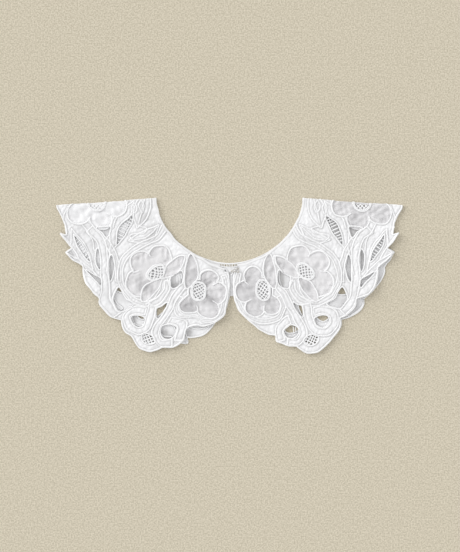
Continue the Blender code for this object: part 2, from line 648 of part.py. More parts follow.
def back_neck(offset_of):
    """The whole back neck from the left fold to the right one, moved into the cloth by offset_of(x)."""
    bare = neck_curve(BACK_NECK_DEPTH, BACK_NECK_POWER, 0.0)
    full = neck_curve(BACK_NECK_DEPTH, BACK_NECK_POWER, 1.0)
    half = [(b[0] + (f[0] - b[0]) * offset_of(b[0]), b[1] + (f[1] - b[1]) * offset_of(b[0]))
            for b, f in zip(bare, full)]
    half[0] = (NECK_HALF_WIDTH + offset_of(NECK_HALF_WIDTH), ABOVE_FOLD)
    return half, [(-x, y) for x, y in half[::-1]][1:]


def below_tabs(points):
    """Which points lie below the tabs that the fronts fold under."""
    lower = (FOLD_TAB + SEAM_GAP) * math.hypot(1.0, FOLD_SLOPE)
    return points[:, 1] < fold_y(np.abs(points[:, 0])) - lower - ON_LINE


def both_tab_lines():
    """The back's upper edges, just below the tabs on either side."""
    right = spaced_fold_line(FOLD_TAB + SEAM_GAP)
    return [(right, False), ([(-x, y) for x, y in right], False)]


def make_back():
    """The back under the fronts: both halves of the plan, joined down the centre back."""
    half, mirrored = back_neck(lambda x: back_band_width(x) + SEAM_GAP)
    neck = half + mirrored
    above = [(0.0, 60.0)]
    free = edge_with_corners(FREE_EDGE, CURVE_STEP)[:-1] + [(20.0, -60.0), (60.0, 10.0)]
    halves = [[tuple(p) for p in place(copy, free)] for copy in ("back_right", "back_left")]
    left, right = CENTRE_BACK_EDGES
    join = [(left, -58.0), (left, CENTRE_BACK_CUT), (right, CENTRE_BACK_CUT), (right, -58.0)]
    cuts = [[tuple(p) for p in place(copy, loop)]
            for copy in ("cutwork_back_right", "cutwork_back_left") for loop in cutwork_loops(copy)]

    def keep(points):
        held = inside(halves[0], points) | inside(halves[1], points) | inside(join, points)
        held &= ~inside(neck + above, points) & below_tabs(points)
        for hole in cuts:
            held &= ~inside(hole, points)
        return held

    loops = [(loop, True) for loop in halves + [join] + cuts] + [(neck, False)] + both_tab_lines()
    thing = sew_wall(
        "back", "as_drawn", loops, keep,
        lambda p: np.full(len(p), WALL), lambda p: np.zeros(len(p)), on_fold=False)
    dress(thing, "white_cotton")


def make_back_binding():
    """The neck band along the back, between the two folds."""
    outer = sum(back_neck(lambda x: 0.0), [])
    inner = sum(back_neck(back_band_width), [])
    outline = outer + inner[::-1]

    def keep(points):
        return inside(outline, points) & below_tabs(points)

    thing = sew_wall(
        "neck_binding_back", "as_drawn", [(outline, True)] + both_tab_lines(), keep,
        lambda p: np.full(len(p), WALL), lambda p: np.zeros(len(p)), on_fold=False)
    dress(thing, "binding_tape")


def make_wire(name, route, height, radius):
    """A round cord or wire along a smooth level route, with flat ends."""
    run = smooth_run([(x, y, height) for x, y in route], WIRE_STEP)
    curve = bpy.data.curves.new(name, "CURVE")
    curve.dimensions = "3D"
    curve.bevel_depth = radius * MM
    curve.bevel_resolution = 2
    curve.use_fill_caps = True
    spline = curve.splines.new("POLY")
    spline.points.add(len(run) - 1)
    for point, (x, y, z) in zip(spline.points, run):
        point.co = (x * MM, y * MM, z * MM, 1.0)
    thing = bpy.data.objects.new(name, curve)
    bpy.context.scene.collection.objects.link(thing)
    return thing


def make_closure():
    """The thread loop, out of the left front's edge, and the hook, on the right front and over the loop."""
    loop_height = (FRONT_BOTTOM + FRONT_TOP) / 2
    dress(make_wire("thread_loop", THREAD_LOOP_ROUTE, loop_height, CORD_RADIUS), "white_thread")
    hook_height = FRONT_TOP + APPLIQUE + SEAM_GAP + HOOK_WIRE_RADIUS
    dress(make_wire("hook", HOOK_ROUTE, hook_height, HOOK_WIRE_RADIUS), "enamelled_wire")


def centre_on_origin():
    """Moves every piece's points so that the plan's middle lies on the origin."""
    shift = Matrix.Translation((-PLAN_MIDDLE[0] * MM, -PLAN_MIDDLE[1] * MM, 0.0))
    for thing in bpy.data.objects:
        thing.data.transform(shift)


def clear_scene():
    """Removes whatever the open file holds."""
    for thing in list(bpy.data.objects):
        bpy.data.objects.remove(thing)


clear_scene()
for side in ("front_right", "front_left"):
    make_front(side)
    make_front_binding(side)
    for flower_name in FLOWERS:
        make_petals(side, flower_name)
make_back()
make_back_binding()
make_closure()
centre_on_origin()
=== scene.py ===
import math

import bpy
import numpy as np
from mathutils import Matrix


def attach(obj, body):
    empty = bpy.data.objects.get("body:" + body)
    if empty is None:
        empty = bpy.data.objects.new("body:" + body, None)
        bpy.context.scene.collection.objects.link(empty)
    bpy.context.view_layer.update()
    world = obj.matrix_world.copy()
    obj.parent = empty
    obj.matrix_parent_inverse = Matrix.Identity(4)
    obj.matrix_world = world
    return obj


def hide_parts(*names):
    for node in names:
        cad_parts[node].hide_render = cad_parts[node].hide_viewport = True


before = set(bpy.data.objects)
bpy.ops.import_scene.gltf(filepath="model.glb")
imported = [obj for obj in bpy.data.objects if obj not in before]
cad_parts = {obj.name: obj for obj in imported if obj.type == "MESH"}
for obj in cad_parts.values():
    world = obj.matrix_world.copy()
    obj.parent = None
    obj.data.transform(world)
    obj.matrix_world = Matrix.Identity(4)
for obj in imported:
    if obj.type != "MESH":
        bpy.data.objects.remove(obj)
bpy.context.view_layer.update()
print("frame loaded")

mm = 0.001

# The flat plan in millimetres, drawn once for the front at +x, the same numbers as in the part's source
plan = {
    "neckHalf": 73.0,          # neck corner on the shoulder fold, from the centre
    "frontNeck": (67.0, 1.80),  # depth and roundness
    "backNeck": (65.0, 1.86),
    "foldSlope": 0.071,
    "foldHeight": -1.1,
    "rollRadius": 1.2,         # half the height of the two layers at the fold
    "tab": 2.4,                # cloth that is turned under the fold
    "backTop": 1.0,
    "middle": (0.0, -77.755),  # plan point that lies on the part's origin
}
slant = math.hypot(1.0, plan["foldSlope"])

# x, y, and 1 where the free edge has a corner
freeEdge = np.array([
    (172.8, 6.0, 1), (172.8, -8.5, 0), (170.6, -13.5, 0), (165.4, -24.0, 0), (163.9, -30.5, 0),
    (163.2, -36.6, 1), (169.4, -35.0, 1), (163.6, -43.2, 0), (157.2, -50.0, 1), (164.4, -54.6, 1),
    (157.0, -62.4, 0), (148.4, -69.6, 1), (147.7, -78.0, 0), (146.0, -86.0, 0), (142.0, -92.6, 0),
    (136.6, -97.8, 0), (127.6, -101.4, 1), (126.2, -107.0, 0), (122.8, -112.0, 0), (117.6, -116.6, 0),
    (111.0, -120.4, 1),
    (111.4, -126.0, 0), (109.2, -133.0, 0), (102.6, -140.2, 1), (97.6, -146.6, 0), (89.2, -153.2, 0),
    (80.0, -155.6, 0), (72.8, -153.2, 0), (67.2, -148.6, 1), (60.0, -148.4, 0), (52.6, -145.4, 0),
    (46.8, -143.6, 1), (46.2, -137.8, 1), (36.8, -135.2, 0), (25.6, -128.2, 0), (17.0, -120.6, 0),
    (9.2, -112.4, 0), (5.2, -103.0, 0), (3.8, -93.0, 0), (3.7, -82.0, 0), (4.2, -75.0, 0),
    (5.4, -71.6, 0), (8.2, -69.9, 1)])

gaps = {
    "underShoulderFlower": [(119.0, -29.4), (126.0, -28.6), (132.6, -30.2), (127.2, -34.4), (122.4, -39.4)],
    "betweenStems": [
        (118.4, -57.0), (121.0, -64.0), (122.0, -76.0), (121.2, -84.4), (117.4, -76.0), (115.6, -66.0)],
    "stemSlit": [
        (132.0, -50.6), (134.4, -58.0), (134.2, -67.0), (131.6, -72.8), (129.8, -66.0), (130.2, -57.0)],
    "besideRing": [(112.6, -89.6), (117.2, -100.4), (110.4, -110.6), (97.4, -105.4), (106.4, -99.4)],
    "betweenFlowers": [(49.4, -73.0), (59.6, -79.0), (58.8, -90.0), (49.0, -85.0)],
    "underFlowers": [(63.2, -104.0), (68.4, -106.0), (72.8, -108.4), (73.0, -118.8), (66.6, -112.6)],
    "outerCurl": [
        (84.8, -120.6), (91.0, -117.6), (98.2, -118.4), (99.2, -124.6), (93.8, -129.6), (87.4, -127.0)],
    "innerCurl": [
        (54.8, -132.4), (60.6, -126.8), (67.2, -128.6), (68.8, -135.4), (62.6, -140.0), (56.4, -138.6)],
    "underLeafTip": [
        (130.4, -82.6), (138.4, -77.8), (145.0, -73.6), (140.2, -80.0), (134.6, -85.6), (131.2, -89.0)],
}

# x, y, ring's half length, half width and tilt, then reach, angle and radius of each petal
flowers = {
    "opening": (33.6, -92.2, 11.0, 7.8, 96.0, [
        (17.4, 124.0, 8.6), (16.6, 184.0, 10.4), (18.0, 245.0, 9.6), (17.0, 300.0, 8.6)]),
    "middle": (75.6, -73.6, 10.4, 7.2, -40.0, [(15.4, 112.0, 11.0), (15.4, 36.0, 10.6), (18.2, -38.0, 13.2)]),
    "shoulder": (132.5, -4.4, 9.6, 9.6, 0.0, [(19.4, 190.0, 10.4), (16.2, 256.0, 11.0), (20.6, 329.0, 11.0)]),
}

# base, tip, width and how far its middle bows to the left of that line
leaves = {
    "neckLeaf": (80.5, 8.0, 92.0, -31.0, 16.0, 1.0),
    "sweepingLeaf": (70.0, -27.0, 101.0, -42.0, 12.0, -5.0),
    "barredLeaf": (95.0, -3.0, 117.4, -54.0, 16.0, 4.0),
    "outerBarredLeaf": (157.6, -31.0, 138.0, -73.0, 14.0, 1.5),
    "edgeLeaf": (148.6, -68.0, 168.0, -36.0, 8.5, -1.5),
    "tipLeaf": (131.0, -84.0, 162.6, -55.2, 10.0, -1.5),
    "hemLeaf": (127.8, -100.6, 148.0, -72.0, 12.0, -1.0),
}

ribbons = {
    "innerStem": (5.6, [(124.0, -42.0), (117.0, -54.0), (112.2, -70.0), (111.6, -84.0)]),
    "longStem": (8.0, [
        (140.0, -31.0), (128.6, -43.0), (125.8, -62.0), (126.0, -84.0), (122.6, -102.0), (113.0, -114.0)]),
    "flowerRing": (5.0, [
        (64.0, -27.0), (70.5, -38.4), (86.7, -46.6), (101.0, -56.0), (108.4, -68.0), (109.0, -84.0),
        (102.0, -97.0), (87.0, -105.4), (71.5, -101.6), (63.6, -92.0), (63.0, -83.0)]),
    "openingBorder": (4.6, [
        (50.0, -98.0), (54.2, -107.0), (50.6, -117.6), (40.0, -123.4), (26.0, -121.6), (13.0, -111.6),
        (7.4, -97.0), (7.6, -82.0), (9.6, -75.0)]),
    "innerCurl": (7.6, [(52.0, -142.6), (49.8, -133.6), (54.0, -125.0), (60.4, -121.6)]),
    "outerCurl": (7.6, [
        (77.0, -106.0), (79.6, -120.0), (84.6, -131.0), (96.0, -134.0), (104.4, -126.4), (103.4, -115.6),
        (93.6, -112.0), (84.0, -113.4)]),
    "crossingBand": (6.4, [
        (47.4, -58.0), (46.6, -72.0), (47.4, -86.0), (55.0, -97.0), (60.4, -108.0), (68.0, -121.0),
        (74.4, -134.0), (68.6, -143.4), (58.0, -143.8)]),
}

# x, y, shift in x and y, and reach: how each hand-sewn copy differs from the plan
nudges = {
    "frontRight": [],
    "frontLeft": [
        (8.0, -90.0, -4.6, 0.0, 30.0), (14.0, -117.0, -3.6, -2.5, 11.0), (42.0, -134.0, -3.5, 9.5, 8.5),
        (51.0, -146.5, 0.0, -3.6, 5.5), (67.0, -149.0, 0.0, -2.0, 7.0), (80.0, -155.0, 1.0, 2.2, 9.0),
        (126.0, -104.0, 5.5, -0.8, 5.5), (108.0, -102.0, -3.0, -2.5, 7.0), (4.0, -105.0, 2.6, 0.0, 6.0),
        (68.0, -112.0, 0.0, -2.6, 8.0), (6.0, -66.0, 0.0, -4.2, 8.5), (26.0, -74.0, 0.0, -4.0, 7.5),
        (16.0, -91.0, 2.4, -0.8, 7.0), (117.0, -114.0, 1.5, -4.0, 7.0), (75.0, -74.0, -4.0, -1.6, 7.0),
        (99.0, -142.0, -3.5, 2.0, 9.0), (110.0, -127.0, -3.4, 0.0, 9.0), (140.0, -92.0, -3.0, 2.0, 20.0)],
    "backRight": [
        (151.0, -74.0, 7.5, 0.0, 11.0), (124.0, -105.0, 7.5, 0.0, 7.5), (120.0, -115.0, 1.8, -1.8, 10.0)],
    "backLeft": [
        (8.0, -90.0, -4.2, 0.0, 26.0), (14.0, -117.0, -2.5, 0.0, 11.0), (28.0, -132.0, -1.5, -7.0, 10.0),
        (48.0, -143.0, -5.0, -2.0, 5.5), (70.0, -151.0, 0.0, 4.0, 14.0), (99.0, -142.0, -5.0, 4.0, 12.0),
        (112.0, -127.0, -4.5, 1.0, 11.0),
        (140.0, -92.0, -5.0, 3.0, 20.0)],
    "asDrawn": [],
}
nudges["gapsBackRight"] = nudges["backRight"] + [
    (63.0, -103.0, 5.0, 0.0, 6.0), (68.0, -113.0, 2.6, 0.0, 7.0), (62.0, -138.0, 0.6, 6.0, 8.0),
    (92.0, -123.0, 1.0, 8.6, 10.0), (108.0, -100.0, 0.0, 15.0, 11.0), (110.0, -111.0, 0.0, 5.5, 6.0)]
nudges["gapsBackLeft"] = nudges["backLeft"] + [
    (92.0, -123.0, -4.0, 7.5, 10.0), (108.0, -100.0, 0.0, 15.0, 11.0), (110.0, -111.0, 0.0, 5.5, 6.0),
    (68.0, -112.0, 0.0, -1.6, 8.0)]
wobble = {"size": 0.28, "length": 15.0}    # how far the hand wanders, and over what distance
wobbleSeeds = {"frontRight": 3, "frontLeft": 5, "backRight": 7, "backLeft": 9, "gapsBackRight": 7,
               "gapsBackLeft": 9}

# x, y, height and reach: where each front stands clear of the back
swells = [
    (16.0, -112.0, 1.3, 17.0), (72.0, -150.0, 1.0, 20.0), (140.0, -92.0, 1.8, 16.0),
    (164.0, -44.0, 1.2, 10.0), (100.0, -72.0, 0.9, 14.0), (52.0, -96.0, 0.8, 12.0)]

# The parts of the pattern that are too fine for the solids: slits and sheer leaves drawn as leaves
openwork = {
    "innerLadder": (95.6, -16.6, 112.6, -47.4, 7.8, 1.9),
    "outerLadder": (155.0, -37.0, 139.8, -64.0, 5.4, 0.6),
    "barSpacing": 3.1,
    "hemNet": (82.0, -141.7, 7.6, 5.0, 18.0),                # ellipse filled with net: middle, halves, tilt
    "netRing": 2.1,
    "meshSize": 2.75,
}
sheerLeaves = {
    "neckSheer": (39.6, -56.0, 44.8, -90.6, 11.0, -2.2),
    "upperSheer": (46.4, -58.4, 68.4, -79.0, 11.6, -0.8),
    "lowerSheer": (70.0, -80.0, 87.6, -103.0, 11.0, 0.8),
}
leafEnds = 0.62    # 1 is pointed, less is rounder
sheerSets = {
    "opening": ["openingFlower", "neckSheer"],
    "middle": ["middleFlower", "upperSheer", "lowerSheer"],
    "shoulder": ["shoulderFlower"],
}


def foldY(x):
    # the shoulder fold is a straight line: foldHeight - foldSlope * (x - neckHalf)
    return plan["foldHeight"] - plan["foldSlope"] * (x - plan["neckHalf"])


def pastFold(x, y):
    # distance beyond the fold, measured square to it: (y - foldY) / slant
    return (y - foldY(x)) / slant


def ease(share):
    # 0 to 1 without corners: 3s^2 - 2s^3
    share = np.clip(share, 0, 1)
    return share * share * (3 - 2 * share)


def evenly(line, step, closed=False):
    # the same line with its points an equal distance apart: each column read off at equal steps of length
    line = np.vstack([line, line[:1]]) if closed else np.asarray(line, float)
    along = np.concatenate([[0], np.cumsum(np.linalg.norm(np.diff(line, axis=0), axis=1))])
    at = np.linspace(0, along[-1], max(3, round(along[-1] / step)) + 1)
    even = np.column_stack([np.interp(at, along, column) for column in line.T])
    return even[:-1] if closed else even


def smoothLine(spots, step, closed=False):
    # between spots b and c, with neighbours a and d: b + ((c-a)t + (2a-5b+4c-d)t^2 + (3b-3c+d-a)t^3) / 2
    p = np.asarray(spots, float)
    p = np.vstack([p[-1:], p, p[:2]]) if closed else np.vstack([2 * p[0] - p[1], p, 2 * p[-1] - p[-2]])
    a, b, c, d = (p[k:len(p) - 3 + k, None, :] for k in range(4))
    t = (np.arange(24) / 24)[None, :, None]
    run = b + 0.5 * ((c - a) * t + (2 * a - 5 * b + 4 * c - d) * t**2 + (3 * b - 3 * c + d - a) * t**3)
    run = run.reshape(-1, p.shape[1])
    return evenly(run if closed else np.vstack([run, p[-2:-1]]), step, closed)


def corneredLine(spots, step):
    # a smooth line from corner to corner, joined end to end
    at = np.flatnonzero(spots[:, 2] > 0)
    parts = [smoothLine(spots[i:j + 1, :2], step) for i, j in zip(at, at[1:])]
    return np.vstack([part[:-1] for part in parts] + [spots[-1:, :2]])


def neckLine(shape, offset, step=1.0):
    # |x/neckHalf|^power + |y/depth|^power = 1 from the fold to the centre, moved by offset along its normal
    depth, power = shape
    angle = np.linspace(0, math.pi / 2, 240)
    x = plan["neckHalf"] * np.cos(angle).clip(0) ** (2 / power)
    y = depth * np.sin(angle) ** (2 / power)
    slopeX = (x / plan["neckHalf"]) ** (power - 1) / plan["neckHalf"]
    slopeY = (y / depth) ** (power - 1) / depth
    size = np.hypot(slopeX, slopeY)
    offset = offset(x) if callable(offset) else offset
    line = np.column_stack([x + offset * slopeX / size, -y - offset * slopeY / size])
    return np.vstack([[line[0, 0], 8.0], evenly(line, step)])


def ellipseLine(x, y, halfLong, halfWide, tilt, grow=0.0, step=0.8):
    # centre + (halfLong cos a, halfWide sin a), both grown, turned by tilt
    a = np.linspace(0, 2 * math.pi, 181)[:-1]
    turn = math.radians(tilt)
    along, across = (halfLong + grow) * np.cos(a), (halfWide + grow) * np.sin(a)
    return evenly(np.column_stack([
        x + along * math.cos(turn) - across * math.sin(turn),
        y + along * math.sin(turn) + across * math.cos(turn)]), step, True)


def flowerLine(flower, grow, step=0.8):
    # in each direction, the furthest of the ring's edge and the far sides of the petals' circles
    x, y, ringLong, ringWide, tilt, petals = flower
    a = np.linspace(0, 2 * math.pi, 721)[:-1]
    turn = a - math.radians(tilt)
    reach = 1.2 + 1 / np.hypot(np.cos(turn) / ringLong, np.sin(turn) / ringWide)
    for out, angle, radius in petals:
        away = a - math.radians(angle)
        across = out * np.sin(away)
        far = out * np.cos(away) + np.sqrt(np.clip(radius**2 - across**2, 0, None))
        reach = np.where((np.abs(across) < radius) & (np.cos(away) > 0), np.maximum(reach, far), reach)
    reach = reach + grow
    return evenly(np.column_stack([x + reach * np.cos(a), y + reach * np.sin(a)]), step, True)


def leafSpots(leaf, t, off):
    # along the leaf by t, and off to its left on top of the bow bend*sin(pi t)
    baseX, baseY, tipX, tipY, _, bend = leaf
    length = math.hypot(tipX - baseX, tipY - baseY)
    ux, uy = (tipX - baseX) / length, (tipY - baseY) / length
    side = bend * np.sin(math.pi * t) + off
    return np.column_stack([baseX + ux * length * t - uy * side, baseY + uy * length * t + ux * side])


def leafLine(leaf, grow=0.0, step=0.8, blunt=1.0):
    # half the width is (width/2 + grow) * sin(pi t)^blunt on each side, from the base round the tip and back
    length = math.hypot(leaf[2] - leaf[0], leaf[3] - leaf[1])
    t = np.linspace(-grow / length, 1 + grow / length, 120)
    share = np.clip((t + grow / length) / (1 + 2 * grow / length), 0, 1)
    half = (leaf[4] / 2 + grow) * np.sin(math.pi * share).clip(0) ** blunt
    return evenly(np.vstack([leafSpots(leaf, t, half), leafSpots(leaf, t, -half)[-2:0:-1]]), step, True)


def beside(line, off, closed=False):
    # each point moved by off to the left of the line's direction there
    ends = (np.roll(line, -1, axis=0) - np.roll(line, 1, axis=0)) if closed else np.gradient(line, axis=0)
    size = np.linalg.norm(ends, axis=1, keepdims=True).clip(1e-9)
    return line + off * np.column_stack([-ends[:, 1], ends[:, 0]]) / size


def outward(loop, off):
    # a ring's points moved away from what it encloses: to the left where its signed area is negative
    x, y = loop.T
    area = np.sum(x * np.roll(y, -1) - y * np.roll(x, -1))
    return beside(loop, -off * np.sign(area), True)


def ribbonLine(ribbon, grow=0.0, step=0.8):
    # both sides of a smooth middle line, half the width away, joined square at the ends
    middle = smoothLine(ribbon[1], step)
    half = ribbon[0] / 2 + grow
    return np.vstack([beside(middle, half), beside(middle, -half)[::-1]])


def makeGrid(low, high, step):
    # a square net of points over a rectangle of the plan
    xs, ys = np.arange(low[0], high[0] + step, step), np.arange(low[1], high[1] + step, step)
    x, y = np.meshgrid(xs, ys)
    return {"xs": xs, "ys": ys, "x": x, "y": y, "step": step}


def nearLines(grid, lines, reach):
    # least distance to dots a third of a square apart along the lines, up to reach
    xs, ys, step = grid["xs"], grid["ys"], grid["step"]
    field = np.full((len(ys), len(xs)), float(reach))
    dots = np.vstack([evenly(line, step / 3) for line in lines])
    col, row = (np.round((dots[:, k] - (xs, ys)[k][0]) / step).astype(int) for k in (0, 1))
    around = math.ceil(reach / step)
    for dr in range(-around, around + 1):
        for dc in range(-around, around + 1):
            ok = (row + dr >= 0) & (row + dr < len(ys)) & (col + dc >= 0) & (col + dc < len(xs))
            r, c = row[ok] + dr, col[ok] + dc
            np.minimum.at(field, (r, c), np.hypot(xs[c] - dots[ok, 0], ys[r] - dots[ok, 1]))
    return field


def within(grid, loop):
    # a grid point is inside where an odd number of the loop's sides crosses its row before it
    a, b = loop, np.roll(loop, -1, axis=0)
    rows, sides = np.nonzero((a[:, 1] > grid["ys"][:, None]) != (b[:, 1] > grid["ys"][:, None]))
    share = (grid["ys"][rows] - a[sides, 1]) / (b[sides, 1] - a[sides, 1])
    cols = np.searchsorted(grid["xs"], a[sides, 0] + share * (b[sides, 0] - a[sides, 0]))
    flips = np.zeros((len(grid["ys"]), len(grid["xs"]) + 1), int)
    np.add.at(flips, (rows, cols), 1)
    return np.cumsum(flips, axis=1)[:, :-1] % 2 == 1


def depthIn(grid, loop, reach=3.0):
    # distance to a loop's line, positive inside it and negative outside, up to reach
    away = nearLines(grid, [np.vstack([loop, loop[:1]])], reach)
    return np.where(within(grid, loop), away, -away)


def sample(grid, field, x, y):
    # the field between its four nearest grid points, each weighed by how near it is
    c = np.clip((x - grid["xs"][0]) / grid["step"], 0, len(grid["xs"]) - 1.001)
    r = np.clip((y - grid["ys"][0]) / grid["step"], 0, len(grid["ys"]) - 1.001)
    ci, ri = c.astype(int), r.astype(int)
    fc, fr = c - ci, r - ri
    low = field[ri, ci] * (1 - fc) + field[ri, ci + 1] * fc
    high = field[ri + 1, ci] * (1 - fc) + field[ri + 1, ci + 1] * fc
    return low * (1 - fr) + high * fr


def ripples(x, y, length, seed, waves=16):
    # the sum of level sine waves near one length, each at its own angle and start, of unit spread
    rng = np.random.default_rng(seed)
    total = np.zeros_like(x)
    for angle, start, size in zip(
            rng.uniform(0, 2 * math.pi, waves), rng.uniform(0, 2 * math.pi, waves),
            length * rng.uniform(0.65, 1.5, waves)):
        total += np.sin(2 * math.pi * (x * math.cos(angle) + y * math.sin(angle)) / size + start)
    return total / math.sqrt(waves / 2)


def creaseHeight(x, y, creases):
    # each crease is a ridge: height * exp(-(across/width)^2) * exp(-(along/length)^2) at its own angle
    total = np.zeros_like(x)
    for cx, cy, angle, length, width, height in creases:
        c, s = math.cos(math.radians(angle)), math.sin(math.radians(angle))
        along, across = (x - cx) * c + (y - cy) * s, (y - cy) * c - (x - cx) * s
        total += height * np.exp(-(across / width) ** 2 - (along / length) ** 2)
    return total


def swellHeight(x, y):
    # the sum of the swells' bells, eased in from 5 to 30 mm below the fold
    rise = sum(h * np.exp(-0.5 * (np.hypot(x - sx, y - sy) / reach) ** 2) for sx, sy, h, reach in swells)
    return rise * ease((foldY(x) - y - 5.0) / 25.0)


def nudged(copy, x, y):
    # each nudge moves a point by its shift times exp(-(away/reach)^2 / 2), on top of a small wobble,
    # all eased in below the fold
    movedX, movedY = np.zeros_like(x), np.zeros_like(y)
    if copy in wobbleSeeds:
        movedX = wobble["size"] * ripples(x, y, wobble["length"], wobbleSeeds[copy])
        movedY = wobble["size"] * ripples(x, y, wobble["length"], wobbleSeeds[copy] + 50)
    for nx, ny, dx, dy, reach in nudges[copy]:
        share = np.exp(-0.5 * (np.hypot(x - nx, y - ny) / reach) ** 2)
        movedX, movedY = movedX + share * dx, movedY + share * dy
    settle = np.clip((foldY(x) - y) / 12.0, 0, 1)
    side = -1.0 if copy.endswith("Left") else 1.0
    return side * (x + movedX * settle), y + movedY * settle


def toMetres(x, y, z):
    return np.column_stack([(x - plan["middle"][0]) * mm, (y - plan["middle"][1]) * mm, z * mm])


def layFront(copy, x, y, h):
    # flat up to the fold, then round a half circle of rollRadius + h, then flat under the fold
    radius = plan["rollRadius"]
    over = np.clip(pastFold(x, y), 0, None)
    angle = np.minimum(over / radius, math.pi)
    past = np.clip(over - math.pi * radius, 0, None)
    out = (radius + h) * np.sin(angle) - past - over
    px, py = nudged(copy, x + out * plan["foldSlope"] / slant, y + out / slant)
    return toMetres(px, py, np.maximum(radius + (radius + h) * np.cos(angle) + swellHeight(x, y), 0.02))


def layBack(copy, x, y, h):
    # flat on the table, h above the back's own top
    px, py = nudged(copy, x, y)
    return toMetres(px, py, plan["backTop"] + h)


def addPiece(name, points, faces, material, flip=False, values=None, sharp=50):
    # faces is a list of arrays, one for each number of corners; flip turns them over for mirrored copies
    mesh = bpy.data.meshes.new(name)
    faces = [f[:, ::-1] if flip else f for f in faces if len(f)]
    corners = np.concatenate([f.ravel() for f in faces]).astype(np.int32)
    sizes = np.concatenate([np.full(len(f), f.shape[1]) for f in faces])
    mesh.vertices.add(len(points))
    mesh.vertices.foreach_set("co", points.astype(np.float32).ravel())
    mesh.loops.add(len(corners))
    mesh.loops.foreach_set("vertex_index", corners)
    mesh.polygons.add(len(sizes))
    mesh.polygons.foreach_set("loop_start", (np.cumsum(sizes) - sizes).astype(np.int32))
    mesh.update(calc_edges=True)
    mesh.validate()
    for key, numbers in (values or {}).items():
        mesh.attributes.new(key, "FLOAT", "POINT").data.foreach_set("value", numbers.astype(np.float32))
    mesh.shade_smooth()
    if sharp:
        mesh.set_sharp_from_angle(angle=math.radians(sharp))
    mesh.materials.append(material)
    piece = bpy.data.objects.new(name, mesh)
    bpy.context.scene.collection.objects.link(piece)
    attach(piece, "root")
    return piece


def cutSheet(grid, depth):
    # a square stays where the mean depth of its corners is above zero, and the rim's points slide down the
    # depth's slope on to the line: p - depth * slope / |slope|^2
    solid = (depth[:-1, :-1] + depth[1:, :-1] + depth[:-1, 1:] + depth[1:, 1:]) > 0
    solid = np.pad(solid, 1)
    width = len(grid["xs"])
    r, c = np.nonzero(solid[1:-1, 1:-1])
    i = r * width + c
    quads = np.column_stack([i, i + 1, i + width + 1, i + width])
    open_ = [~solid[r, c + 1], ~solid[r + 1, c + 2], ~solid[r + 2, c + 1], ~solid[r + 1, c]]
    rim = np.vstack([np.column_stack([quads[o, k], quads[o, (k + 1) % 4]]) for k, o in enumerate(open_)])
    slopeY, slopeX = np.gradient(depth, grid["step"])
    size = (slopeX**2 + slopeY**2).clip(0.3)
    most = 0.75 * grid["step"]
    moveX, moveY = np.clip(-depth * slopeX / size, -most, most), np.clip(-depth * slopeY / size, -most, most)
    onRim = np.zeros(depth.size, bool)
    onRim[rim.ravel()] = True
    x = grid["x"].ravel() + np.where(onRim, moveX.ravel(), 0)
    y = grid["y"].ravel() + np.where(onRim, moveY.ravel(), 0)
    used = np.unique(quads)
    number = np.full(depth.size, -1)
    number[used] = np.arange(len(used))
    a, b, c2, d = (np.column_stack([x, y])[quads[:, k]] for k in range(4))
    cross = lambda u, v: u[:, 0] * v[:, 1] - u[:, 1] * v[:, 0]
    area = 0.5 * np.abs(cross(c2 - a, d - b)).sum()
    return {"x": x[used], "y": y[used], "used": used, "area": area,
            "quads": number[quads], "rim": number[rim]}


def shellFaces(sheet):
    # the sheet, the same sheet turned over below it, and a wall between their rims
    n, quads, rim = len(sheet["x"]), sheet["quads"], sheet["rim"]
    walls = np.column_stack([rim[:, 1], rim[:, 0], rim[:, 0] + n, rim[:, 1] + n])
    return [np.vstack([quads, quads[:, ::-1] + n, walls])]


def sweepRuns(runs, sides):
    # a ring at each point: line + left * cos(a) * width/2, height + rise * sin(a), with a going once round;
    # both shrink towards a loose end as sqrt(distance / width)
    a = 2 * math.pi * np.arange(sides) / sides
    points, quads, caps, along, first = [], [], [], [], 0
    for line, height, width, rise, closed in runs:
        n = len(line)
        steps = np.linalg.norm(np.diff(line, axis=0), axis=1)
        s = np.concatenate([[0], np.cumsum(steps)])
        left = beside(line, 1.0, closed) - line
        fade = np.ones(n) if closed else np.sqrt(np.clip(np.minimum(s, s[-1] - s) / width + 0.12, 0, 1))
        off = np.outer(fade, np.cos(a)) * width / 2
        ring = np.stack([
            line[:, 0, None] + left[:, 0, None] * off, line[:, 1, None] + left[:, 1, None] * off,
            height[:, None] + rise * np.outer(fade, np.sin(a))], axis=2)
        points.append(ring.reshape(-1, 3))
        along.append(np.repeat(s, sides))
        i = np.arange(n if closed else n - 1)[:, None]
        k = np.arange(sides)[None, :]
        j, m = (i + 1) % n, (k + 1) % sides
        quads.append(np.stack([i * sides + k, i * sides + m, j * sides + m, j * sides + k], axis=2)
                     .reshape(-1, 4) + first)
        if not closed:
            caps += [first + np.arange(sides)[::-1], first + (n - 1) * sides + np.arange(sides)]
        first += n * sides
    faces = [np.vstack(quads)] + ([np.array(caps)] if caps else [])
    return np.vstack(points), faces, np.concatenate(along)


def openStretches(line, seen, closed, least=4):
    # the runs of neighbouring points that are all seen, each with whether it is still a whole ring
    if seen.all():
        return [(line, closed)]
    if closed and seen.any():
        start = int(np.flatnonzero(~seen)[0])
        line, seen = np.roll(line, -start, axis=0), np.roll(seen, -start)
    turns = np.flatnonzero(np.diff(np.concatenate([[0], seen.astype(int), [0]])))
    return [(line[i:j], False) for i, j in zip(turns[::2], turns[1::2]) if j - i >= least]


print("plan ready")

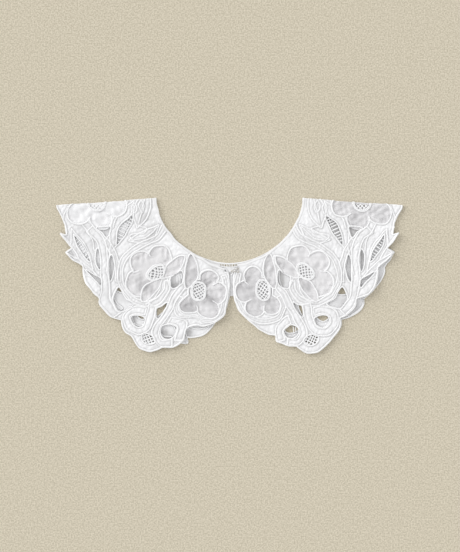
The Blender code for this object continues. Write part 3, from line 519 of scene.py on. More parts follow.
# Materials: every pattern reads object coordinates in metres, or a number kept on the points
finishes = {
    "cotton": {"colour": (0.945, 0.945, 0.955), "shade": (0.56, 0.555, 0.555), "rough": 0.82, "sheen": 0.2,
               "thread": 0.00042, "weave": 0.30, "pucker": 0.5, "mottle": 0.30, "cloud": 110.0},
    "organdy": {"colour": (0.95, 0.94, 0.95), "shade": (0.60, 0.59, 0.60), "rough": 0.55, "sheen": 0.3,
                "thread": 0.00034, "weave": 0.35, "pucker": 0.5, "mottle": 0.38, "cloud": 75.0,
                "alpha": 0.74},
    # a brighter, more opaque copy of the organdy: painted light where it lies on white cloth without shade
    "unshadedOrgandy": {"colour": (0.96, 0.96, 0.97), "shade": (0.80, 0.79, 0.80), "rough": 0.6, "sheen": 0.3,
              "thread": 0.00034, "weave": 0.35, "pucker": 0.5, "mottle": 0.4, "cloud": 75.0, "alpha": 0.94},
    "binding": {"colour": (0.95, 0.95, 0.955), "shade": (0.74, 0.735, 0.74), "rough": 0.75, "sheen": 0.2,
                "thread": 0.00036, "weave": 0.30, "pucker": 0.2, "mottle": 0.3, "cloud": 110.0},
    "satin": {"colour": (0.985, 0.985, 0.99), "shade": (0.90, 0.90, 0.91), "rough": 0.48, "sheen": 0.15,
              "stitch": 0.36},
    "wire": {"colour": (0.74, 0.71, 0.65), "shade": (0.52, 0.49, 0.44), "rough": 0.36},
}


def startMaterial(name):
    material = bpy.data.materials.new(name)
    material.use_nodes = True
    tree = material.node_tree
    return material, tree, tree.nodes["Principled BSDF"], tree.nodes.new("ShaderNodeTexCoord")


def addNode(tree, kind, links=(), **settings):
    # one node with its settings, and its inputs linked or set by name or number
    node = tree.nodes.new(kind)
    for key, value in settings.items():
        setattr(node, key, value)
    for socket, source in links:
        if hasattr(source, "is_output"):
            tree.links.new(source, node.inputs[socket])
        else:
            node.inputs[socket].default_value = source
    return node


def clothMaterial(name, finish):
    # two crossing waves a thread apart make the weave, a noise makes the puckers, and a number kept on the
    # points mixes in the shade colour: painted shade in the groove beside each cord and in shaded spots
    material, tree, shader, coords = startMaterial(name)
    place = coords.outputs["Object"]
    perThread = 2 * math.pi / (20 * finish["thread"])
    warp = addNode(tree, "ShaderNodeTexWave", [("Vector", place), ("Scale", perThread), ("Distortion", 0.6)],
                   bands_direction="X")
    weft = addNode(tree, "ShaderNodeTexWave", [("Vector", place), ("Scale", perThread), ("Distortion", 0.6)],
                   bands_direction="Y")
    weave = addNode(tree, "ShaderNodeMath", [(0, warp.outputs["Fac"]), (1, weft.outputs["Fac"])],
                    operation="ADD")
    slubs = addNode(tree, "ShaderNodeTexNoise", [("Vector", place), ("Scale", 420.0), ("Detail", 4.0)])
    cloudy = addNode(tree, "ShaderNodeTexNoise", [
        ("Vector", place), ("Scale", finish["cloud"]), ("Detail", 3.0)])
    fine = addNode(tree, "ShaderNodeBump", [
        ("Height", weave.outputs[0]), ("Strength", finish["weave"]), ("Distance", 0.00008)])
    soft = addNode(tree, "ShaderNodeBump", [
        ("Height", slubs.outputs["Fac"]), ("Strength", finish["pucker"]), ("Distance", 0.0007),
        ("Normal", fine.outputs["Normal"])])
    tree.links.new(soft.outputs["Normal"], shader.inputs["Normal"])
    uneven = addNode(tree, "ShaderNodeMapRange", [
        ("Value", cloudy.outputs["Fac"]), ("From Min", 0.38), ("From Max", 0.72), ("To Min", 0.0),
        ("To Max", finish["mottle"])])
    ditchAndPaintedShade = addNode(tree, "ShaderNodeAttribute", attribute_name="ditchAndPaintedShade")
    dark = addNode(tree, "ShaderNodeMath", [(0, uneven.outputs["Result"]), (1, ditchAndPaintedShade.outputs["Fac"])],
                   operation="ADD", use_clamp=True)
    blend = addNode(tree, "ShaderNodeMix", [
        (0, dark.outputs[0]), (6, (*finish["colour"], 1.0)), (7, (*finish["shade"], 1.0))], data_type="RGBA")
    tree.links.new(blend.outputs[2], shader.inputs["Base Color"])
    shader.inputs["Roughness"].default_value = finish["rough"]
    shader.inputs["Sheen Weight"].default_value = finish["sheen"]
    shader.inputs["Alpha"].default_value = finish.get("alpha", 1.0)
    return material


def satinMaterial(name, finish):
    # each stitch lies across the cord, so its height is sin(2 pi along / stitch), uneven with a noise
    material, tree, shader, coords = startMaterial(name)
    along = addNode(tree, "ShaderNodeAttribute", attribute_name="along")
    noise = addNode(tree, "ShaderNodeTexNoise", [
        ("Vector", coords.outputs["Object"]), ("Scale", 900.0), ("Detail", 2.0)])
    moved = addNode(tree, "ShaderNodeMath", [
        (0, along.outputs["Fac"]), (1, 2 * math.pi / finish["stitch"])], operation="MULTIPLY")
    uneven = addNode(tree, "ShaderNodeMath", [
        (0, noise.outputs["Fac"]), (1, 4.0), (2, moved.outputs[0])], operation="MULTIPLY_ADD")
    wave = addNode(tree, "ShaderNodeMath", [(0, uneven.outputs[0])], operation="SINE")
    bump = addNode(tree, "ShaderNodeBump", [
        ("Height", wave.outputs[0]), ("Strength", 0.45), ("Distance", 0.00007)])
    tree.links.new(bump.outputs["Normal"], shader.inputs["Normal"])
    # the hollows between stitches are mixed towards the shade colour: painted shade
    share = addNode(tree, "ShaderNodeMapRange", [
        ("Value", wave.outputs[0]), ("From Min", -1.0), ("From Max", 1.0), ("To Min", 0.45), ("To Max", 0.0)])
    blend = addNode(tree, "ShaderNodeMix", [
        (0, share.outputs["Result"]), (6, (*finish["colour"], 1.0)), (7, (*finish["shade"], 1.0))],
        data_type="RGBA")
    tree.links.new(blend.outputs[2], shader.inputs["Base Color"])
    shader.inputs["Roughness"].default_value = finish["rough"]
    shader.inputs["Sheen Weight"].default_value = finish["sheen"]
    return material


def wireMaterial(name, finish):
    # drawn metal: a fine noise in its colour and height
    material, tree, shader, coords = startMaterial(name)
    noise = addNode(tree, "ShaderNodeTexNoise", [
        ("Vector", coords.outputs["Object"]), ("Scale", 1500.0), ("Detail", 3.0)])
    blend = addNode(tree, "ShaderNodeMix", [
        (0, noise.outputs["Fac"]), (6, (*finish["colour"], 1.0)), (7, (*finish["shade"], 1.0))],
        data_type="RGBA")
    tree.links.new(blend.outputs[2], shader.inputs["Base Color"])
    bump = addNode(tree, "ShaderNodeBump", [
        ("Height", noise.outputs["Fac"]), ("Strength", 0.2), ("Distance", 0.00005)])
    tree.links.new(bump.outputs["Normal"], shader.inputs["Normal"])
    shader.inputs["Metallic"].default_value = 0.9
    shader.inputs["Roughness"].default_value = finish["rough"]
    return material


cotton = clothMaterial("whiteCotton", finishes["cotton"])
organdy = clothMaterial("sheerOrgandy", finishes["organdy"])
unshadedOrgandy = clothMaterial("sheerOrgandyUnshaded", finishes["unshadedOrgandy"])
tape = clothMaterial("bindingTape", finishes["binding"])
satin = satinMaterial("satinThread", finishes["satin"])
wire = wireMaterial("enamelledWire", finishes["wire"])
print("materials ready")

# The pattern of one front on the plan: fields on a grid, and the cords' lines
pattern = {"step": 0.68, "padding": 0.45, "padReach": 1.3, "ditchDepth": 0.30, "ditchAt": 1.15,
           "ditchWidth": 0.6, "cordWidth": 1.45, "thinWidth": 1.0, "cordRise": 0.5, "cordStep": 0.95,
           "back": 0.45}    # how far a cord stands back from an opening's edge


def shapeLoops():
    # every applied leaf and ribbon, from the lowest to the one that lies over the rest
    loops = {name: leafLine(leaf) for name, leaf in leaves.items()}
    loops.update({name + "Band": ribbonLine(ribbon) for name, ribbon in ribbons.items()})
    return loops


def holeLoops():
    # all that is cut out of the cotton, whether it is left open, netted, barred or filled with sheer cloth
    holes = {name: smoothLine(spots, 0.8, True) for name, spots in gaps.items()}
    holes.update({name + "Flower": flowerLine(flower, 0.3) for name, flower in flowers.items()})
    holes.update({name: leafLine(openwork[name], blunt=0.8) for name in ("innerLadder", "outerLadder")})
    holes["hemNet"] = ellipseLine(*openwork["hemNet"])
    holes.update({name: leafLine(leaf, blunt=leafEnds) for name, leaf in sheerLeaves.items()})
    return holes


def panelOutline(neckOffset):
    # the free edge from the fold to the neck corner, then the neck back up to the fold
    neck = neckLine(plan["frontNeck"], neckOffset)
    return np.vstack([corneredLine(freeEdge, 0.8), neck[neck[:, 0] > 9.5][::-1]])


def cuspLines():
    # a short stroke from each notch between two petals towards the flower's middle
    lines = []
    for x, y, _, _, _, petals in flowers.values():
        angles = sorted(math.radians(p[1] % 360) for p in petals)
        for one, two in zip(angles, angles[1:] + [angles[0] + 2 * math.pi]):
            if two - one < math.radians(85):
                at = (one + two) / 2
                out = np.array([[21.5], [19.4], [17.0], [15.0]])
                sway = np.array([[0.0], [0.25], [0.6], [1.2]])
                lines.append(np.array([[x, y]]) + out * [math.cos(at), math.sin(at)]
                             + sway * [-math.sin(at), math.cos(at)])
    return lines


def patternLines(shapes, holes):
    # (name, line, closed, width, what may cover it, whether it may leave the cotton): the openings' edges lie
    # over all, and each shape lies under those that follow
    order = list(shapes)
    wide, thin = pattern["cordWidth"], pattern["thinWidth"]
    lines = []
    for k, name in enumerate(order):
        lines.append((name, shapes[name], True, wide, order[k + 1:], False))
    for name in ("neckLeaf", "sweepingLeaf"):
        over = order[order.index(name) + 1:]
        t = np.linspace(0.08, 0.86, 60)
        lines.append(("vein", leafSpots(leaves[name], t, 0.5 * np.sin(7 * t)), False, thin, over, False))
    for name, hole in holes.items():
        covers = [] if name in sheerLeaves else ["upperSheer", "lowerSheer", "neckSheer"]
        covers = covers + (["crossingBandBand"] if name == "openingFlower" else [])
        width = 1.6 if name.endswith("Flower") else wide
        lines.append((name, outward(hole, pattern["back"]), True, width, covers, True))
    for name, flower in flowers.items():
        for grow in (-0.5, -1.65):
            ring = ellipseLine(*flower[:5], grow=grow)
            lines.append((name + "Flower", ring, True, 1.25, ["upperSheer", "lowerSheer"], True))
    lines += [("cusp", line, False, 1.2, [], True) for line in cuspLines()]
    lines.append(("edge", beside(corneredLine(freeEdge, 0.8), -0.65), False, 1.7, [], True))
    lines += [("fine", smoothLine(line, 0.8), False, thin, [], False) for line in strokes]
    return lines


# Embroidered lines that belong to no leaf, ribbon or opening
strokes = [
    [(91.4, -28.0), (82.4, -30.6), (85.6, -35.0), (97.0, -36.4), (99.6, -38.6), (93.8, -44.4)],
    [(63.4, -80.4), (60.6, -90.0), (64.8, -100.0), (73.6, -106.4)],
    [(69.8, -82.0), (70.4, -92.0), (76.0, -101.0), (84.0, -105.6)],
    [(88.0, -2.0), (85.0, -8.0), (87.2, -15.4), (90.6, -8.0), (88.0, -2.0)],
    [(95.4, -4.6), (92.6, -9.6), (94.2, -15.6), (97.8, -10.6), (95.4, -4.6)],
    [(100.6, -2.4), (106.4, -12.0), (113.6, -22.0), (116.4, -30.0)],
    [(147.0, -26.0), (138.0, -40.0), (134.6, -54.0)],
    [(161.0, -8.0), (165.8, -21.0), (162.4, -34.0)],
    [(118.4, -46.0), (120.6, -60.0), (124.0, -76.0)],
]

shapes, holes = shapeLoops(), holeLoops()
frontGrid = makeGrid((2.0, -158.0), (176.0, 8.0), pattern["step"])
shapeDepths = {name: depthIn(frontGrid, loop) for name, loop in shapes.items()}
holeDepths = {name: depthIn(frontGrid, loop) for name, loop in holes.items()}
outlineDepth = depthIn(frontGrid, panelOutline(1.4))
foldLeft = math.pi * plan["rollRadius"] + plan["tab"] - pastFold(frontGrid["x"], frontGrid["y"])
frontDepth = np.minimum(outlineDepth, foldLeft)
for depth in holeDepths.values():
    frontDepth = np.minimum(frontDepth, -depth)
cordLines = patternLines(shapes, holes)
cordDistance = nearLines(
    frontGrid, [np.vstack([line[1], line[1][:1]]) if line[2] else line[1] for line in cordLines], 2.8)
coverDepths = {**shapeDepths, **holeDepths}
padding = np.zeros_like(frontDepth)
for rank, depth in enumerate(shapeDepths.values()):
    crown = pattern["padding"] * (1 - np.exp(-np.clip(depth, 0, None) / pattern["padReach"]))
    padding = np.where(depth > 0, np.maximum(crown, padding * 0.6) + 0.012 * rank, padding)
# the groove beside each cord, used for its depth and for painted shade in the colour
ditchAndPaintedShade = np.exp(-((cordDistance - pattern["ditchAt"]) / pattern["ditchWidth"]) ** 2)
gapsOnly = np.minimum(outlineDepth, -np.maximum.reduce([holeDepths[name] for name in gaps]))
print("pattern ready:", len(cordLines), "lines")


def visibleRuns(lines, height, lift, rise, foldLimit=2.2):
    # each line cut back to where nothing covers it, it lies on cloth, and it hasn't turned under the fold
    runs = []
    for _, line, closed, width, over, free in lines:
        line = evenly(line, pattern["cordStep"], closed)
        x, y = line[:, 0], line[:, 1]
        seen = (pastFold(x, y) < foldLimit) & (sample(frontGrid, gapsOnly, x, y) > -0.8)
        if not free:
            seen &= sample(frontGrid, frontDepth, x, y) > -0.2
        for name in over:
            seen &= sample(frontGrid, coverDepths[name], x, y) < 0.3
        for part, whole in openStretches(line, seen, closed):
            level = sample(frontGrid, height, part[:, 0], part[:, 1]) + lift
            runs.append((part, level, width, rise * min(1.0, width), whole))
    return runs


frontCreases = {
    "frontRight": [
        (90.0, -60.0, 60.0, 16.0, 2.5, 0.5), (20.0, -100.0, 75.0, 22.0, 3.0, 0.5),
        (150.0, -40.0, -70.0, 14.0, 3.0, 0.5), (120.0, -95.0, 40.0, 14.0, 3.0, 0.4),
        (60.0, -120.0, -30.0, 14.0, 3.0, 0.5), (168.0, -38.0, 50.0, 5.0, 4.0, 1.1),
        (162.0, -56.0, 45.0, 5.0, 4.0, 0.9), (95.0, -15.0, -70.0, 12.0, 2.5, 0.4)],
    "frontLeft": [
        (84.0, -50.0, 30.0, 16.0, 2.5, 0.5), (14.0, -104.0, 100.0, 20.0, 3.0, 0.5),
        (148.0, -52.0, -60.0, 16.0, 3.0, 0.6), (70.0, -140.0, 10.0, 14.0, 3.0, 0.5),
        (40.0, -60.0, -40.0, 12.0, 2.5, 0.4), (168.0, -38.0, 40.0, 6.0, 4.0, 1.5),
        (162.0, -56.0, 35.0, 5.0, 4.0, 1.3), (104.0, -30.0, -60.0, 16.0, 2.5, 0.4)],
}
clothThickness = 0.42


# x, y, how much darker, and reach: painted shade on the petals and the cotton, painted light where below zero
paintedShadePatches = {
    "frontRight": [
        (64.0, -61.0, 0.8, 5.0), (77.0, -63.0, 0.5, 4.0), (86.0, -69.0, 0.7, 5.0), (88.0, -80.0, 0.5, 5.0),
        (95.0, -60.0, -0.3, 6.0), (52.0, -64.0, 0.8, 6.0), (62.0, -73.0, 0.8, 6.0), (76.0, -88.0, 1.3, 5.5),
        (79.5, -94.0, 0.5, 3.0), (84.0, -99.0, 0.3, 5.0), (42.0, -80.0, -0.2, 6.0), (40.0, -66.0, -0.3, 6.0),
        (18.0, -94.0, 0.12, 9.0),
        (20.0, -108.0, -0.3, 3.0), (33.0, -110.0, -0.3, 3.0), (27.0, -104.0, 0.3, 4.0),
        (113.0, -8.0, 0.3, 7.0), (128.0, -20.0, 0.4, 7.0), (150.0, -10.0, 0.2, 6.0)],
    "frontLeft": [
        (89.0, -85.0, 1.0, 7.5), (91.0, -60.0, 0.7, 5.0), (67.0, -60.0, 0.7, 5.0), (78.0, -62.0, -0.3, 7.0),
        (79.0, -92.0, 0.9, 7.0), (54.0, -68.0, -0.3, 8.0), (35.0, -72.0, 0.4, 5.0), (41.0, -70.0, -0.2, 6.0),
        (24.0, -101.0, 0.7, 6.0), (27.0, -82.0, 0.9, 5.0), (16.0, -88.0, -0.3, 6.0), (44.0, -107.0, 0.6, 6.0),
        (31.0, -113.0, -0.2, 6.0)],
    "frontRightCotton": [(100.0, -52.0, 0.15, 8.0), (119.0, -90.0, 0.2, 7.0), (88.0, -148.0, 0.15, 8.0)],
    "frontLeftCotton": [
        (86.0, -20.0, 0.35, 6.0), (78.0, -36.0, 0.2, 6.0), (112.0, -42.0, 0.2, 8.0), (150.0, -30.0, 0.2, 7.0),
        (137.0, -45.0, 0.25, 6.0), (72.0, -148.0, 0.1, 9.0), (25.2, -62.0, 0.8, 1.8), (22.2, -63.6, 0.9, 1.8),
        (19.2, -65.1, 0.9, 1.8), (16.2, -66.2, 0.8, 1.8), (167.0, -38.0, 0.5, 5.0), (160.0, -55.0, 0.5, 4.5)],
}


def paintedShadeTone(spots, x, y):
    # painted shade: amount * exp(-(away/reach)^2), added up; painted light where the amount is below zero
    return sum((amount * np.exp(-(np.hypot(x - bx, y - by) / reach) ** 2) for bx, by, amount, reach in spots),
               np.zeros_like(x))


def frontHeight(copy, seed):
    # padding - ditch + two sizes of ripple + the hand-placed creases, all fading out round the fold
    x, y = frontGrid["x"], frontGrid["y"]
    uneven = 0.12 * ripples(x, y, 5.0, seed) + 0.06 * ripples(x, y, 2.8, seed + 1)
    calm = ease(cordDistance / 1.6)
    height = padding - pattern["ditchDepth"] * ditchAndPaintedShade + uneven * (0.4 + 0.6 * calm)
    # padding - ditch + two sizes of ripple + the listed creases, all fading out round the fold
    height = height + creaseHeight(x, y, frontCreases[copy])
    return height * ease(1 - (pastFold(x, y) - 0.3) / 2.2)


def makeFront(copy, label, seed):
    height = frontHeight(copy, seed)
    sheet = cutSheet(frontGrid, frontDepth)
    top = height.ravel()[sheet["used"]]
    x, y = np.tile(sheet["x"], 2), np.tile(sheet["y"], 2)
    points = layFront(copy, x, y, np.concatenate([top, top - clothThickness]))
    # painted shade in the colour: the groove beside each cord and the cotton's listed spots
    tone = ditchAndPaintedShade * 0.52 + paintedShadeTone(paintedShadePatches[copy + "Cotton"], frontGrid["x"], frontGrid["y"])
    dark = np.tile(tone.ravel()[sheet["used"]], 2)
    flip = copy.endswith("Left")
    cloth = addPiece("frontCloth" + label, points, shellFaces(sheet), cotton, flip, {"ditchAndPaintedShade": dark})
    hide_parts("front_right" if not flip else "front_left")
    runs = visibleRuns(cordLines, height, -0.02, pattern["cordRise"])
    points, faces, along = sweepRuns(runs, 7)
    points = layFront(copy, *points.T)
    cords = addPiece("frontCords" + label, points, faces, satin, flip, {"along": along}, sharp=0)
    print(copy, "cloth", len(cloth.data.polygons), "cords", len(cords.data.polygons))
    return cloth, cords, sheet["area"] * 1e-6


# Sheer cloth: each flower's petals with the leaves that grow from it, in one piece
sheer = {"step": 0.62, "below": -0.72, "thickness": 0.14, "pucker": 0.24, "folds": 0.34, "tuck": 0.9,
         "tone": {"opening": 0.06, "middle": -0.6, "shoulder": -0.12}}
def makeSheer(name, copy, lay, flowerName, seed, node, material):
    # a thin shell below the cotton, cut as the flower and its leaves together: below + ripples + folds that
    # run out from the middle as cos(n * angle)
    flower = flowers[flowerName]
    lines = [flowerLine(flower, 0.3 + sheer["tuck"])]
    grown = sheerSets[flowerName][1:]
    lines += [leafLine(sheerLeaves[leaf], sheer["tuck"], blunt=leafEnds) for leaf in grown]
    low, high = np.vstack(lines).min(axis=0) - 1.5, np.vstack(lines).max(axis=0) + 1.5
    grid = makeGrid(low, high, sheer["step"])
    x, y = grid["x"], grid["y"]
    depth = np.maximum.reduce([depthIn(grid, line) for line in lines])
    netDepth = depthIn(grid, ellipseLine(*flower[:5], grow=-openwork["netRing"]))
    if material is unshadedOrgandy or lay is layBack:
        netDepth = netDepth - 30.0
    if lay is layFront:
        netDepth = np.minimum(netDepth, -1.2 - pastFold(x, y))
        foldRoom = math.pi * plan["rollRadius"] + plan["tab"] - pastFold(x, y)
    else:
        foldRoom = -pastFold(x, y) - 2.9
    depth = np.minimum.reduce([depth, -netDepth, foldRoom])
    sheet = cutSheet(grid, depth)
    angle, away = np.arctan2(y - flower[1], x - flower[0]), np.hypot(x - flower[0], y - flower[1])
    inside = ease(np.clip(depth, 0, 3) / 3)
    fold = np.cos(7 * angle + 2 * np.sin(2 * angle + seed)) * ease(away / 16)
    height = sheer["pucker"] * ripples(x, y, 7.0, seed) + sheer["folds"] * fold
    height = (sheer["below"] + height * inside) * ease(1 - (pastFold(x, y) - 0.3) / 2.2) \
        - 0.5 * ease((pastFold(x, y) - 0.3) / 2.2)
    if lay is layBack:
        height = np.maximum(height, 0.18 - plan["backTop"])
    top = height.ravel()[sheet["used"]]
    px, py = np.tile(sheet["x"], 2), np.tile(sheet["y"], 2)
    points = lay(copy, px, py, np.concatenate([top, top - sheer["thickness"]]))
    # painted shade where the sheet lies deeper, on top of each flower's own offset and the painted shade
    # spots
    dark = sheer["tone"][flowerName] + np.clip(-height / 2 - 0.3, 0, 0.3)
    dark = np.tile((dark + paintedShadeTone(paintedShadePatches.get(copy, []), x, y)).ravel()[sheet["used"]], 2)
    piece = addPiece(name, points, shellFaces(sheet), material, copy.endswith("Left"), {"ditchAndPaintedShade": dark})
    if node:
        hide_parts(node)


def makeSheers(copy, label, lay, layer, seed, skip=()):
    for k, name in enumerate(flowers):
        if name + "Flower" not in skip:
            node = f"petals_{name}_front_{label.lower()}" if layer == "front" else None
            # the left shoulder flower takes the brighter copy: painted light
            material = unshadedOrgandy if (copy, name) == ("frontLeft", "shoulder") else organdy
            makeSheer(layer + "Petals" + name.capitalize() + label, copy, lay, name, seed + k, node, material)


# Nets and bars: thin threads stretched over the openings
threads = {
    "netWidth": 1.2, "barWidth": 1.3, "level": -0.25, "sag": 0.08,
    "bars": {
        "frontLeft": [(54.4, -77.0, 53.4, -84.6), (52.2, -76.0, 51.2, -83.0), (50.0, -75.0, 49.2, -81.0)],
        "frontRight": [(63.4, -127.6, 64.0, -135.6), (65.8, -128.0, 66.2, -134.8)]},
}


def netLines(x, y, halfLong, halfWide, tilt, size, seed):
    # two crossing sets of chords of the ellipse, a mesh apart: points at offset k*size, half chord
    # sqrt(1 - (offset/reach)^2) long on either side, reach being the ellipse's own in that direction
    rng = np.random.default_rng(seed)
    lines = []
    for turn in (math.radians(tilt + 47), math.radians(tilt - 43)):
        c, s = math.cos(turn - math.radians(tilt)), math.sin(turn - math.radians(tilt))
        reach = math.hypot(halfLong * s, halfWide * c)
        offsets = np.arange(-math.floor(reach / size), math.floor(reach / size) + 1) * size
        for offset in offsets + rng.uniform(-0.2, 0.2, len(offsets)):
            inside = 1 - (offset / reach) ** 2
            if inside < 0.08:
                continue
            half = halfLong * halfWide / reach * math.sqrt(inside)
            mid = offset * math.cos(math.pi / 2) + offset * (halfWide**2 - halfLong**2) * s * c / reach**2
            t = np.linspace(-half - 0.3, half + 0.3, max(7, round(half * 2))) + mid
            lines.append(np.column_stack([
                x + t * math.cos(turn) - offset * math.sin(turn),
                y + t * math.sin(turn) + offset * math.cos(turn)]))
    return lines


def barLines(leaf, spacing):
    # straight bars across a pointed slit, a little longer than it is wide there
    length = math.hypot(leaf[2] - leaf[0], leaf[3] - leaf[1])
    count = round(length / spacing)
    lines = []
    for t in (np.arange(count) + 0.6) / count:
        half = leaf[4] / 2 * math.sin(math.pi * t) + 0.3
        if half > 0.9:
            off = np.linspace(-half, half, 5)
            lines.append(leafSpots(leaf, t + 0.01 * off / half, off))
    return lines


def makeThreads(copy, label, lay, layer, seed, skip=()):
    level, width = threads["level"], threads["netWidth"]
    runs = []
    ellipses = [
        (flower[0], flower[1], flower[2] - openwork["netRing"], flower[3] - openwork["netRing"], flower[4])
        for name, flower in flowers.items() if lay is layFront]
    for k, ellipse in enumerate(ellipses + [openwork["hemNet"]]):
        for line in netLines(*ellipse, openwork["meshSize"], seed + k):
            line = line[pastFold(line[:, 0], line[:, 1]) < (-0.7 if lay is layFront else -3.0)]
            if len(line) > 3:
                sag = threads["sag"] * np.sin(np.linspace(0, math.pi, len(line)))
                runs.append((line, level - sag, width, 0.24, False))
    for name in ("innerLadder", "outerLadder"):
        if name not in skip:
            for line in barLines(openwork[name], openwork["barSpacing"]):
                runs.append((line, np.full(len(line), level + 0.1), threads["barWidth"], 0.26, False))
    for x1, y1, x2, y2 in threads["bars"].get(copy, []):
        bar = np.column_stack([np.linspace(x1, x2, 6), np.linspace(y1, y2, 6)])
        runs.append((bar, np.full(6, level - 0.3), 1.0, 0.26, False))
    points, faces, along = sweepRuns(runs, 6)
    points = lay(copy, *points.T)
    piece = addPiece(layer + "Nets" + label, points, faces, satin, copy.endswith("Left"), {"along": along},
                     sharp=0)
    return piece


# The neck bindings: a band across the neck's edge, rounded, with a cord along each side
binding = {"width": 2.2, "thickness": 0.9, "columns": 15, "edgePaintedShade": {"frontLeft": 1.1}}


def makeBand(name, copy, lay, outer, inner, profile, thickness, node):
    # every point between the two edge lines: outer + share * (inner - outer), at the profile's height there
    share = np.linspace(0, 1, len(profile))
    rows, n = len(outer), len(profile)
    grid = outer[:, None, :] + share[None, :, None] * (inner - outer)[:, None, :]
    x, y = grid[..., 0].ravel(), grid[..., 1].ravel()
    top = np.tile(profile, rows) + 0.03 * ripples(x, y, 6.0, 91)
    i = np.arange(rows - 1)[:, None] * n + np.arange(n - 1)[None, :]
    quads = np.stack([i, i + 1, i + n + 1, i + n], axis=2).reshape(-1, 4)
    side, end = np.arange(rows - 1) * n, np.arange(n - 1)
    last = (rows - 1) * n
    rim = np.vstack([
        np.column_stack([end, end + 1]), np.column_stack([side + n - 1, side + 2 * n - 1]),
        np.column_stack([last + end + 1, last + end]), np.column_stack([side + n, side])])
    sheet = {"x": x, "y": y, "quads": quads, "rim": rim}
    ax, ay = x[quads], y[quads]
    turned = (ax[:, 2] - ax[:, 0]) * (ay[:, 3] - ay[:, 1]) - (ay[:, 2] - ay[:, 0]) * (ax[:, 3] - ax[:, 1])
    points = lay(copy, np.tile(x, 2), np.tile(y, 2), np.concatenate([top, top * 0 - thickness]))
    flip = (turned.sum() < 0) != copy.endswith("Left")
    # painted shade: darker where the band's profile is low at its sides, and along the inner edge line where
    # listed
    dark = np.interp(profile, [0.1, 0.4], [0.5, 0.0])
    dark = dark + binding["edgePaintedShade"].get(copy, 0.0) * np.exp(-((1 - share) / 0.3) ** 2)
    dark = np.tile(np.tile(dark, rows), 2)
    piece = addPiece(name, points, shellFaces(sheet), tape, flip, {"ditchAndPaintedShade": dark})
    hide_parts(node)
    return piece


def makeFrontBinding(copy, label):
    # the band's height across is 0.45 sin(pi s)^0.5 with a needle line a third of the way in from each side
    s = np.linspace(0, 1, binding["columns"])
    profile = 0.45 * np.sqrt(np.sin(math.pi * np.clip(s, 0.01, 0.99)))
    profile -= 0.16 * np.exp(-((s - 0.36) / 0.09) ** 2) + 0.10 * np.exp(-((s - 0.7) / 0.08) ** 2)
    outer, inner = (neckLine(plan["frontNeck"], off, 0.9) for off in (0.0, binding["width"] + 0.2))
    rows = 150
    keep = [evenly(line[line[:, 0] > 8.0], 0.5) for line in (outer, inner)]
    outer, inner = (evenly(line, np.linalg.norm(np.diff(line, axis=0), axis=1).sum() / rows) for line in keep)
    ok = pastFold(outer[:, 0], outer[:, 1]) < math.pi * plan["rollRadius"] + plan["tab"]
    return makeBand("neckBinding" + label, copy, layFront, outer[ok], inner[ok], profile, 0.95,
                    "neck_binding_front_" + label.lower())


bandBack = {"width": 2.2, "extra": 2.6, "reach": 22.0, "rungs": 1.6, "slitFrom": 0.30, "slitTo": 0.76,
            "openTo": 9.6}


def backWidth(x):
    # width + extra * exp(-(x / reach)^2), so it is widest at the centre back
    return bandBack["width"] + bandBack["extra"] * np.exp(-(x / bandBack["reach"]) ** 2)


def backNeckLine(share, step=0.9):
    # the whole back neck from the right fold to the left one, share of the band's width into the cloth
    half = neckLine(plan["backNeck"], lambda x: share * backWidth(x), step)
    half = half[pastFold(half[:, 0], half[:, 1]) < -2.8]
    return np.vstack([half, (half * [-1, 1])[-2::-1]])


def makeBackBand():
    # two rails with rungs between them, a slit's width apart, over the middle; a plain band further out
    lines = [backNeckLine(share) for share in (0.0, bandBack["slitFrom"], bandBack["slitTo"], 1.0)]
    rows = 420
    lines = [evenly(line, np.linalg.norm(np.diff(line, axis=0), axis=1).sum() / rows) for line in lines]
    s = np.linspace(0, 1, 7)
    rail = 0.10 + 0.32 * np.sqrt(np.sin(math.pi * np.clip(s, 0.02, 0.98)))
    top = makeBandShell(lines[0], lines[1], rail)
    low = makeBandShell(lines[2], lines[3], rail)
    middle = (lines[1] + lines[2]) / 2
    solidPart = np.abs(middle[:, 0]) > bandBack["openTo"]
    plain = [
        makeBandShell(lines[1][part], lines[2][part], np.full(4, 0.16))
        for part in (solidPart & (middle[:, 0] > 0), solidPart & (middle[:, 0] < 0))]
    along = np.arange(-bandBack["openTo"], bandBack["openTo"] + 0.1, bandBack["rungs"])
    rungs = []
    for x in along:
        k = int(np.argmin(np.abs(middle[:, 0] - x)))
        half = (lines[2][k] - lines[1][k]) / 2
        t = np.linspace(-1.25, 1.25, 5)[:, None]
        rungs.append((middle[k] + half * t, np.full(5, -0.1), 0.62, 0.3, False))
    points, faces, _ = sweepRuns(rungs, 6)
    parts = [top, low] + plain + [(points, faces)]
    allPoints, allFaces, first = [], {4: [], 6: []}, 0
    # painted shade on the plain stretches of the band, most on the left one
    paintedBandShades = [0.0, 0.0, 0.3, 1.1, 0.0]
    dark = np.concatenate([np.full(len(part[0]), tone) for part, tone in zip(parts, paintedBandShades)])
    for partPoints, partFaces in parts:
        allPoints.append(partPoints)
        for f in partFaces:
            allFaces[f.shape[1]].append(f + first)
        first += len(partPoints)
    points = layBack("asDrawn", *np.vstack(allPoints).T)
    faces = [np.vstack(group) for group in allFaces.values() if group]
    piece = addPiece("neckBandBack", points, faces, tape, values={"ditchAndPaintedShade": dark})
    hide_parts("neck_binding_back")
    return piece


